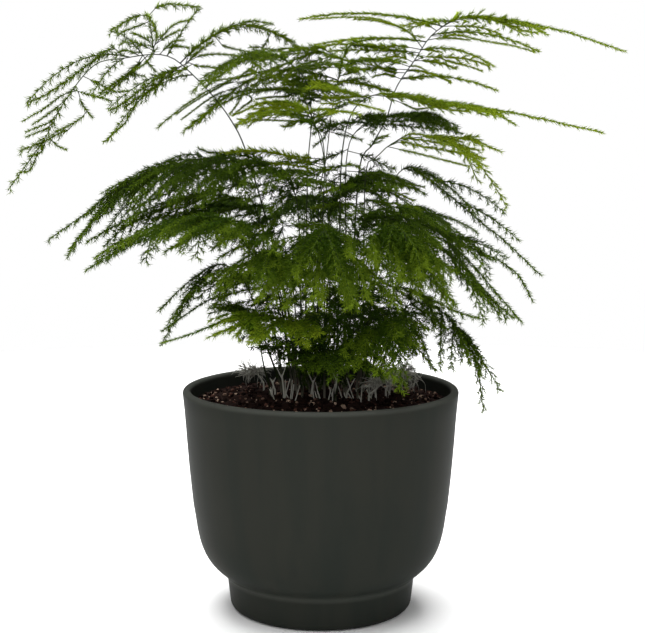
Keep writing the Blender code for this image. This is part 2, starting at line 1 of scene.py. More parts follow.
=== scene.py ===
"""Dresses the potted asparagus fern: a dark glazed pot, crumbly soil and needle-fine fronds.

Run as a script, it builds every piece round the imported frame. The tables are in millimetres, and
MM turns them into metres. The front of the plant is -Y.
"""

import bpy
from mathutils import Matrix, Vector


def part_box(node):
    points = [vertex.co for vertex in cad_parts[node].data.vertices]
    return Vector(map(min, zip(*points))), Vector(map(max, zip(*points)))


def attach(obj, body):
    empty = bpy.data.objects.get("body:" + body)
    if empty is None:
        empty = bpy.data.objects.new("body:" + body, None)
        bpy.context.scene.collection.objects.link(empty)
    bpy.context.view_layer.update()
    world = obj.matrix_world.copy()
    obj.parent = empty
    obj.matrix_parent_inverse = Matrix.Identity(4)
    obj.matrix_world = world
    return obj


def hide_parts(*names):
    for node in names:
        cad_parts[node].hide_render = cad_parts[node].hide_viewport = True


bl_info = {
    "name": "Potted Asparagus Fern",
    "version": (1, 0, 0),
    "blender": (4, 5, 0),
    "location": "View3D > Sidebar > Fern",
    "description": "Dresses a potted asparagus fern: glazed pot, crumbly soil and fine fronds",
    "category": "Object",
}

import math
import random

import bmesh
import bpy
import numpy as np
from bpy.props import FloatProperty, FloatVectorProperty, IntProperty, PointerProperty
from mathutils import Matrix, Vector, noise

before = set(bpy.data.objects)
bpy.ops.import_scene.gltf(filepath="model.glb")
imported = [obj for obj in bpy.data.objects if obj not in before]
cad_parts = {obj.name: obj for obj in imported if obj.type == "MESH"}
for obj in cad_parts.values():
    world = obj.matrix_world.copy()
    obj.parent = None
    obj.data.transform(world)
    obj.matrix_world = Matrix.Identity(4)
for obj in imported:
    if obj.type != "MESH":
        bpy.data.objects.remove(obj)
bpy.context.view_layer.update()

MM = 0.001
UP = (0.0, 0.0, 1.0)
WHITE = (1.0, 1.0, 1.0)
GOLDEN_ANGLE = math.radians(137.5)
RIM_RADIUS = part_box("pot")[1][0] / MM
POT_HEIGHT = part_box("pot")[1][2] / MM

# Every grown piece has a map: age across it, with the wood in its last band, and the way from
# root to tip along it. MAP_SPREAD keeps a needle's corners apart there.
UV_NAME = "OFBake"
STEM_BAND = 0.92
WOOD_BAND = (STEM_BAND + 0.02, 0.99)
AGE_LIMITS = (0.01, STEM_BAND - 0.03)
MAP_SPREAD = 0.006

# Pot: the turned outline, from the hollow's floor over the lip to the foot. WALL is the wall's
# thickness under the lip, and WALL_TOP how far below the lip's middle it has that. A paler glaze
# is painted as a highlight between two depths under the lip's top, and over the foot's ledge.
LIP_RADIUS = 2.3
WALL = 4.6
WALL_TOP = 4.0
INSIDE = [(0, 9), (44, 9), (54, 20), (59.5, 33), (63, 52), (65.5, 72), (68, 95)]
OUTSIDE = [(74.7, 112.0), (74.0, 103.0), (73.4, 94.0), (72.5, 82.0), (71.4, 70.0), (70.4, 60.0)]
BELLY_TOP = (68.9, 50.0)
BELLY_BEND = ((66.6, 32.0), (62.0, 26.0))
BELLY_END = (52.5, 19.3)
FOOT_TOP = (51.9, 18.2)
FOOT_RADIUS = 50.3
FOOT_EDGE = 4.5
LIP_STEPS, BELLY_STEPS, FOOT_STEPS = 12, 14, 8
LIP_HIGHLIGHT = (3.0, 0.3)
LEDGE_HIGHLIGHT = (15.5, 17.5)
LEDGE_HIGHLIGHT_ABOVE = 2.5

# Soil: the same mound as the solid under it, and the underside that lies in the pot's hollow.
SOIL_LEVEL = 114.5
SOIL_EDGE = 69.8
SOIL_MOUND = 4.5
SOIL_SLOPE = 58.0
SOIL_BUMP = 0.9
SOIL_UNDER = [(65.2, 72), (59.2, 33), (43.7, 9.3), (0, 9.3)]
SOIL_RINGS, SOIL_STEPS = 35, 150
CRUMB_KINDS = 4
CRUMB_SIZES = (0.5, 0.6, 0.8, 1.0, 1.3)
CRUMB_SPREAD = 0.985
CRUMB_RAISED = 0.25

# Stems: where each leaves the soil, and its roots' end below.
STEM_END = 109
STEM_FREE = 121

# Wood: its radius at the root and at the tip, sides, distance between rings, and how far up the
# map its skin starts. STEM_TAPER draws a stem thin late. The points of every line stand LINE_STEP
# apart; a curve and an arch are first worked out in steps.
WOOD = {
    "stem": (0.85, 0.25, 6, 4.0, 0.0),
    "branch": (0.36, 0.16, 4, 6.0, 0.6),
    "plume": (0.30, 0.12, 3, 6.0, 0.6),
    "spray": (0.70, 0.30, 6, 2.5, 0.0),
    "spray_branch": (0.35, 0.20, 4, 3.0, 0.0),
    "curl": (0.18, 0.10, 3, 1.6, 0.0),
    "stub": (0.60, 0.40, 6, 2.0, 0.0),
    "fork": (0.36, 0.22, 5, 2.0, 0.0),
    "stick": (0.38, 0.25, 5, 3.0, 0.0),
}
STEM_TAPER = 3.0
LINE_STEP = 1.0
CURVE_STEPS = 12
ARCH_STEPS = 40

# Twigs: how they leave the branch, their radii, the shortest one, and the shares of their length
# by which they bend on with the branch and run past each joint. Then how far their sweep and lift
# stray, and the least and most of their length and of the gap between them.
TWIG_SWEEP = math.radians(52)
TWIG_RADII = (0.24, 0.14)
TWIG_SHORTEST = 2.5
TWIG_BEND = 0.15
TWIG_JOINT = 0.25
SWEEP_STRAY = 0.14
LIFT_STRAY = 0.16
TWIG_REACH = (0.8, 1.1)
TWIG_GAP = (0.85, 1.15)

# Age: how late along a branch it turns to that of the tip, and how far it strays by twig and by
# needle.
TIP_GROWTH = 2.2
TWIG_AGE_STRAY = 0.07
NEEDLE_AGE_STRAY = 0.05

# Needles: where the first whorl stands, how far a needle strays round its twig and along it, its
# least and most length, and how much needles shorten towards the tip.
FIRST_WHORL = 0.6
NEEDLE_STRAY = 0.5
NEEDLE_SIZE = (0.7, 1.08)
NEEDLE_CLOSING = 0.35

# Needles between the twigs: how many stand in a whorl on a branch, then gap and number for a
# close plume and for a fine one, whose twigs would be FINE_TWIG or less. Then how much a plume's
# needles shorten towards its tip, and the least and most degrees that it rolls.
BRANCH_NEEDLES = 3
CLOSE_PLUME = (1.3, 4)
FINE_PLUME = (0.9, 5)
FINE_TWIG = 3
PLUME_CLOSING = 0.3
PLUME_ROLL = (20, 45)

# Lesser branches: how far between two given ones, the stretch of stem that they may leave, their
# least and most length, and how far their tips stray sideways.
BETWEEN = (0.05, 0.62)
LEAVES_STEM = (0.2, 0.96)
LESSER_REACH = (0.70, 0.96)
SIDE_STRAY = 5

# Short shoots round the lower stem: the stretch of stem, their reach, their longest twig, and
# how far above the soil they start.
SHOOT_STRETCH = (0.05, 0.41)
SHOOT_REACH = (14, 27)
SHOOT_TWIG = 6.0
SHOOT_CLEAR = 16

# Dry growth: length of one link of a curled twig, twigs on a branch, and sticks round a stub.
CURL_LINK = 2.2
CURLS = 7
DRY_STICKS = 5

# Seeds of the random draws; each frond, spray or stub adds its own number.
SOIL_SEED, FROND_SEED, SPRAY_SEED, STUB_SEED = 41, 500, 700, 900

# The eye that sees the front view, and the view's middle and focal length in units of its sheet.
EYE = (0.98, -800.0, 263.4)
EYE_PITCH = math.radians(7.27)
VIEW_MIDDLE = (322.5, 316.5)
VIEW_FOCUS = 1478.7

# Lamps: place, aim and size in metres, and the setting that holds the power. SKY_SHARES are the
# sky's strength at the horizon and at the zenith, as shares of its setting.
LAMPS = {
    "key_light": ((-0.28, -0.55, 1.35), (0.03, 0.0, 0.16), 1.1, "key"),
    "front_light": ((0.10, -1.60, 0.55), (0.0, 0.0, 0.12), 0.9, "front"),
    "top_light": ((-0.05, 0.30, 1.40), (0.0, 0.0, 0.15), 1.2, "top"),
}
SKY_SHARES = (0.55, 1.6)

# Fronds: tone, roll in degrees, share of the stem that is bare, then how the frond fills out,
# the stem's points from where it leaves the soil, and its side branches.
# It fills out by lesser branches for each given one, how far those stray up and down, how much
# twigs droop, the longest twig, and the number of short shoots round the lower stem.
# Each branch has its place along the stem, its tip, and how far its middle arches up.
FRONDS = {
    "frond_left_tall": ("mid", 50, 0.8, (0, 2, 0.2, 3, 3), [
        (-14, 16), (-19, 6, 170), (-38, 6, 243), (-50, 5, 270), (-70, 3, 293), (-84, 1, 302),
        (-105, -4, 300), (-120, -8, 296), (-135, -13, 277), (-145, -17, 258), (-164, -22, 231)], [
        (0.56, (-50, 22, 296), 2), (0.6, (-112, -14, 273), 5), (0.59, (-118, 24, 256), 9),
        (0.615, (-11, 18, 305), 16), (0.64, (-66, 12, 327), 1), (0.66, (-92, 6, 324), 0),
        (0.68, (-113, 10, 315), 3), (0.7, (-158, 4, 277), 10), (0.71, (-119, -24, 280), 3)]),
    "frond_right_tall": ("bright", 0, 0.72, (0, 2, 0.06, 6, 6), [
        (14, 20), (17, 10, 170), (21, 11, 240), (28, 12, 254), (36, 12, 269), (41, 12, 285),
        (51, 10, 300), (60, 8, 313), (74, 6, 321), (96, 4, 321), (128, 2, 315), (162, 0, 304)], [
        (0.555, (-4, 24, 289), 2), (0.58, (92, -16, 283), 4), (0.6, (72, 26, 288), 2),
        (0.64, (91, -8, 296), 4), (0.655, (-3, 34, 309), 3), (0.67, (115, -12, 303), 5),
        (0.69, (-11, 4, 321), 5), (0.71, (46, 26, 316), 2), (0.75, (112, 28, 314), 2),
        (0.78, (118, -22, 311), 2)]),
    "frond_middle_tall": ("mid", 0, 0.84, (0, 4, 0.12, 7, 8), [
        (0, 22), (-1, 12, 170), (-1, 12, 224), (3, 10, 247), (6, 8, 273), (9, 6, 287),
        (12, 4, 300), (17, 3, 308), (30, 0, 311)], [
        (0.78, (-72, -14, 262), 14), (0.8, (-38, 30, 290), 6), (0.84, (-90, 18, 263), 16),
        (0.87, (44, -24, 297), 3), (0.89, (-30, 12, 304), 4), (0.93, (56, 22, 302), 1)]),
    "frond_right_long": ("bright", 0, 0.6, (1, 2, 0.05, 7, 8), [
        (8, 6), (10, -8, 180), (11, -10, 245), (17, -12, 272), (30, -13, 281), (46, -14, 279),
        (64, -15, 276), (97, -16, 272), (148, -18, 261)], [
        (0.58, (-6, -24, 284), 2), (0.62, (68, 18, 274), 2), (0.68, (90, -40, 269), 2),
        (0.75, (104, 6, 266), 2)]),
    "frond_left_band": ("bright", 0, 0.8, (1, 2, 0.06, 8, 8), [
        (-4, 4), (-1, -8, 180), (2, -8, 248), (-4, -10, 266), (-12, -10, 275), (-28, -12, 277),
        (-46, -14, 270)], [
        (0.8, (-42, -34, 266), 3), (0.84, (-46, 10, 264), 3), (0.78, (20, -30, 270), 3)]),
    "frond_back_high": ("deep", 0, 0.7, (1, 3, 0.12, 8, 8), [
        (4, 28), (5, 22, 180), (2, 26, 245), (-6, 30, 272), (-14, 36, 287), (-26, 48, 292),
        (-40, 66, 286)], [
        (0.7, (26, 62, 279), 4), (0.78, (-62, 40, 278), 5), (0.82, (-6, 84, 280), 5)]),
    "frond_right_dark": ("deep", 0, 0.74, (3, 4, 0.1, 9, 8), [
        (12, 14), (14, 6, 180), (14, 12, 245), (22, 14, 264), (40, 20, 270), (60, 18, 268),
        (78, 16, 260)], [
        (0.74, (-4, 38, 260), 3), (0.8, (66, 44, 262), 4), (0.84, (72, -6, 262), 3)]),
    "frond_right_young": ("young", 0, 0.8, (1, 2, 0.08, 7, 4), [
        (22, 8), (23, -6, 170), (24, -8, 238), (30, -9, 248), (40, -10, 256), (60, -12, 259),
        (80, -13, 257), (95, -14, 251)], [
        (0.82, (82, -40, 243), 3), (0.84, (102, 12, 220), 8), (0.9, (80, -30, 254), 2)]),
    "frond_right_arc_high": ("deep", 20, 0.58, (0, 4, 0.2, 6, 5), [
        (24, 18), (28, 10, 170), (35, 14, 215), (41, 15, 236), (49, 16, 242), (60, 16, 235),
        (74, 15, 224), (88, 14, 212), (102, 12, 201), (121, 10, 183)], [
        (0.6, (74, 56, 224), 4), (0.62, (84, 0, 217), 4), (0.66, (103, 26, 216), 5),
        (0.74, (112, 36, 200), 3)]),
    "frond_right_arc_mid": ("deep", 10, 0.52, (2, 5, 0.25, 8, 5), [
        (20, 12), (26, 0, 160), (35, 0, 202), (48, -2, 212), (66, -4, 207), (84, -6, 198),
        (97, -7, 192), (107, -8, 184), (114, -9, 171)], [
        (0.54, (52, -40, 206), 3), (0.58, (66, 40, 206), 4), (0.64, (84, -36, 193), 4),
        (0.72, (104, 22, 190), 3)]),
    "frond_right_arc_low": ("deep", 10, 0.5, (1, 4, 0.28, 7, 8), [
        (26, 4), (32, -10, 150), (44, -14, 190), (60, -18, 206), (76, -20, 196), (92, -24, 178),
        (106, -26, 162)], [
        (0.54, (50, -62, 184), 6), (0.6, (101, -4, 160), 5), (0.68, (84, -50, 164), 4),
        (0.6, (56, -40, 196), 4)]),
    "frond_right_droop": ("deep", 60, 0.45, (2, 4, 0.3, 8, 7), [
        (30, 14), (36, 8, 140), (46, 0, 166), (60, -4, 168), (74, -8, 156), (84, -12, 136),
        (88, -14, 112)], [
        (0.5, (66, 40, 150), 6), (0.58, (62, -42, 140), 5), (0.7, (96, -20, 124), 2)]),
    "frond_front_right": ("mid", 0, 0.5, (4, 9, 0.4, 12, 7), [
        (14, -2), (18, -20, 160), (26, -30, 200), (36, -44, 214), (46, -60, 206),
        (52, -74, 186)], [
        (0.56, (8, -62, 198), 7), (0.62, (70, -50, 190), 5), (0.7, (36, -86, 178), 4),
        (0.78, (66, -74, 176), 3)]),
    "frond_front_middle": ("mid", 0, 0.5, (4, 9, 0.4, 12, 7), [
        (2, -6), (2, -26, 160), (2, -38, 204), (2, -54, 212), (-2, -72, 196), (-4, -84, 176)], [
        (0.56, (36, -66, 180), 1), (0.6, (-24, -66, 206), 4), (0.72, (16, -88, 178), 4),
        (0.76, (-24, -80, 178), 3)]),
    "frond_front_low_right": ("mid", 0, 0.45, (4, 6, 0.4, 10, 9), [
        (20, -8), (25, -22, 135), (30, -40, 158), (36, -52, 164), (40, -64, 152),
        (40, -72, 133)], [
        (0.52, (12, -68, 152), 5), (0.6, (55, -60, 162), 4), (0.7, (28, -82, 144), 3)]),
    "frond_front_low_left": ("bright", 0, 0.45, (4, 3, 0.25, 9, 5), [
        (-10, -6), (-12, -20, 135), (-16, -38, 160), (-26, -48, 168), (-40, -54, 165),
        (-57, -58, 158)], [
        (0.52, (0, -62, 160), 4), (0.6, (-34, -78, 158), 3), (0.7, (-58, -32, 160), 3)]),
    "frond_left_mid_high": ("deep", -10, 0.52, (3, 9, 0.3, 11, 3), [
        (-16, 10), (-22, -2, 170), (-36, -2, 222), (-54, -2, 240), (-80, -2, 244), (-104, -4, 234),
        (-126, -6, 218), (-146, -8, 204)], [
        (0.52, (-38, -44, 226), 6), (0.56, (-60, 46, 230), 6), (0.62, (-100, -40, 214), 5),
        (0.68, (-118, 32, 218), 5), (0.74, (-131, -30, 201), 3)]),
    "frond_left_mid_low": ("deep", -10, 0.5, (4, 8, 0.22, 11, 4), [
        (-20, 2), (-26, -14, 160), (-38, -20, 200), (-56, -24, 212), (-80, -28, 210),
        (-102, -30, 202), (-122, -32, 190)], [
        (0.56, (-64, 14, 204), 4), (0.62, (-94, -8, 214), 4), (0.74, (-112, -2, 196), 3)]),
    "frond_left_low": ("deep", -10, 0.48, (1, 4, 0.22, 7, 7), [
        (-22, 12), (-30, 6, 145), (-40, 0, 178), (-54, -2, 190), (-70, -4, 182), (-88, -6, 165)], [
        (0.52, (-44, 42, 176), 6), (0.58, (-50, -40, 176), 5), (0.66, (-86, 20, 154), 4),
        (0.7, (-84, -28, 150), 3)]),
    "frond_back_left": ("deep", 0, 0.5, (2, 7, 0.3, 11, 8), [
        (-12, 26), (-20, 24, 160), (-34, 40, 210), (-52, 56, 224), (-74, 72, 216),
        (-92, 84, 198)], [
        (0.56, (-34, 92, 214), 6), (0.6, (-86, 40, 212), 6), (0.7, (-66, 98, 202), 4)]),
    "frond_back_middle": ("deep", 0, 0.5, (3, 8, 0.3, 11, 6), [
        (-2, 32), (-4, 34, 165), (-6, 54, 214), (-8, 76, 224), (-10, 100, 208), (-12, 116, 188)], [
        (0.56, (30, 76, 214), 6), (0.6, (-40, 102, 204), 4), (0.72, (16, 112, 200), 4)]),
    "frond_back_right": ("deep", 0, 0.5, (3, 8, 0.3, 11, 8), [
        (14, 30), (24, 30, 160), (38, 46, 206), (56, 64, 218), (74, 82, 206), (86, 96, 186)], [
        (0.56, (22, 84, 208), 6), (0.6, (90, 48, 204), 6), (0.72, (64, 104, 196), 4)]),
    "frond_back_low": ("mid", 0, 0.45, (3, 8, 0.3, 11, 9), [
        (6, 36), (10, 46, 140), (14, 58, 166), (16, 76, 168), (18, 94, 150)], [
        (0.55, (48, 68, 158), 5), (0.62, (-20, 84, 156), 5)]),
    "frond_middle_second": ("mid", 0, 0.78, (1, 4, 0.12, 8, 8), [
        (-8, 12), (-8, -1, 180), (-7, -1, 240), (-5, -2, 270), (-9, -4, 290), (-24, -6, 301),
        (-44, -8, 297), (-62, -10, 284)], [
        (0.77, (22, -22, 293), 3), (0.8, (-34, -36, 290), 6), (0.84, (-36, 26, 299), 4),
        (0.89, (-66, -34, 281), 4)]),
    "frond_left_upper": ("deep", 0, 0.55, (3, 6, 0.25, 11, 4), [
        (-10, 6), (-11, -9, 180), (-13, -12, 226), (-24, -14, 241), (-44, -16, 247),
        (-66, -18, 247), (-86, -20, 241), (-102, -22, 231)], [
        (0.56, (8, -42, 232), 5), (0.6, (-40, -56, 234), 6), (0.64, (-64, 20, 246), 5),
        (0.72, (-76, -54, 226), 4), (0.8, (-96, -48, 226), 3)]),
    "frond_left_front": ("mid", -10, 0.52, (4, 6, 0.25, 11, 6), [
        (-13, -2), (-20, -26, 160), (-34, -42, 206), (-52, -52, 218), (-76, -58, 216),
        (-98, -62, 208), (-113, -64, 199)], [
        (0.56, (-22, -76, 202), 4), (0.62, (-68, -88, 210), 4), (0.7, (-86, -38, 206), 3),
        (0.76, (-96, -80, 207), 3)]),
    "frond_centre_high": ("deep", 0, 0.56, (3, 9, 0.22, 10, 6), [
        (1, 10), (4, -2, 180), (6, 2, 222), (18, 6, 236), (36, 8, 238), (54, 10, 230)], [
        (0.58, (-30, 22, 232), 5), (0.64, (26, 46, 236), 4), (0.68, (40, -26, 232), 4),
        (0.78, (60, 34, 226), 3)]),
    "frond_centre_mid": ("deep", 0, 0.54, (3, 9, 0.3, 11, 8), [
        (13, 3), (16, -12, 165), (20, -18, 208), (32, -24, 221), (48, -28, 221), (66, -32, 210)], [
        (0.57, (-14, -38, 214), 5), (0.64, (36, 4, 228), 3), (0.72, (62, -52, 204), 3)]),
    "frond_front_left": ("mid", 0, 0.52, (5, 8, 0.38, 11, 9), [
        (-6, -2), (-12, -24, 155), (-16, -38, 190), (-26, -54, 202), (-42, -66, 196),
        (-52, -74, 182)], [
        (0.56, (-8, -72, 190), 5), (0.62, (-58, -54, 188), 4), (0.7, (-30, -88, 184), 4)]),
    "frond_core_front": ("deep", 0, 0.42, (4, 7, 0.38, 9, 9), [
        (8, -18), (9, -29, 128), (11, -42, 146), (18, -54, 152), (26, -66, 142)], [
        (0.46, (-16, -54, 144), 4), (0.54, (34, -46, 136), 3), (0.66, (6, -76, 140), 3)]),
    "frond_core_left": ("deep", 0, 0.42, (4, 4, 0.15, 9, 9), [
        (-28, 6), (-31, -2, 134), (-35, -11, 157), (-44, -13, 168), (-60, -16, 165)], [
        (0.52, (-36, -40, 162), 3), (0.6, (-58, 14, 171), 3), (0.66, (-58, -34, 170), 3)]),
    "frond_core_right": ("deep", 20, 0.42, (2, 5, 0.25, 7, 8), [
        (32, 24), (35, 19, 132), (39, 12, 152), (45, 9, 161), (54, 4, 150), (61, 0, 134)], [
        (0.46, (48, -14, 144), 3), (0.54, (46, 38, 150), 4), (0.64, (58, 24, 152), 3)]),
}

# Dry sprays: withered tufts low on the soil, with points and branches as in the fronds.
DRY_SPRAYS = {
    "dry_spray_left": (
        [(-32, 20), (-34, 20, 124), (-38, 19, 129), (-43, 18, 130)],
        [(0.45, (-36, 8, 131), 1), (0.70, (-42, 25, 125), 1)],
    ),
    "dry_spray_right": (
        [(36, 6), (40, 5, 124), (45, 3, 129), (51, 1, 130)],
        [(0.45, (37, -4, 130), 2), (0.60, (52, 10, 131), 1), (0.75, (50, -6, 124), 1)],
    ),
    "dry_spray_front": (
        [(26, -14), (29, -15, 123), (33, -16, 127), (38, -18, 128)],
        [(0.50, (24, -24, 126), 2), (0.70, (40, -12, 130), 1)],
    ),
}

# Stubs of old stems, cut short: where each stands, and its top.
DRY_STEMS = {
    "dry_stem_1": ((-25, -2), (-27, -3, 127)),
    "dry_stem_2": ((-20, -9), (-21, -11, 131)),
    "dry_stem_3": ((-5, -10), (-4, -12, 128)),
    "dry_stem_4": ((8, -11), (9, -13, 133)),
    "dry_stem_5": ((14, -13), (16, -15, 125)),
    "dry_stem_6": ((30, -2), (33, -4, 129)),
}

# Age of the inner needles and age at the tips, by tone, and for fronds with an age of their own.
# The low, dark ages of the core and back fronds are painted shade of the dense interior.
TONES = {
    "deep": (0.15, 0.74),
    "mid": (0.03, 0.74),
    "bright": (0.38, 0.80),
    "young": (0.60, 0.90),
    "frond_left_tall": (0.42, 0.98),
    "frond_middle_tall": (0.38, 0.95),
    "frond_middle_second": (0.35, 0.95),
    "frond_front_low_left": (0.10, 0.72),
    "frond_right_arc_high": (0.26, 0.95),
    "frond_right_arc_mid": (0.22, 0.92),
    "frond_right_arc_low": (0.22, 0.95),
    "frond_right_droop": (0.20, 0.90),
    # Painted shade: core and back fronds, darkened for the shade inside the plant.
    "frond_core_front": (0.04, 0.50),
    "frond_core_right": (0.06, 0.60),
    "frond_back_middle": (0.06, 0.55),
    "frond_back_low": (0.04, 0.50),
}

# How needles stand between the twigs: the gap, and the least and most lean in radians, by tone,
# for fronds that are closer or looser than others of their tone, and for dry sprays.
HOLD = {
    "deep": (2.2, (0.50, 1.0)),
    "mid": (1.9, (0.45, 0.95)),
    "bright": (1.1, (0.25, 0.70)),
    "young": (1.5, (0.25, 0.70)),
    "dry": (2.6, (0.50, 1.0)),
    "frond_left_tall": (1.3, (0.45, 1.0)),
    "frond_middle_tall": (1.8, (0.35, 0.80)),
    "frond_front_low_left": (2.6, (0.35, 0.80)),
    "frond_right_droop": (1.1, (0.50, 1.0)),
    "frond_right_arc_high": (1.6, (0.50, 1.0)),
    "frond_right_arc_low": (1.6, (0.50, 1.0)),
}
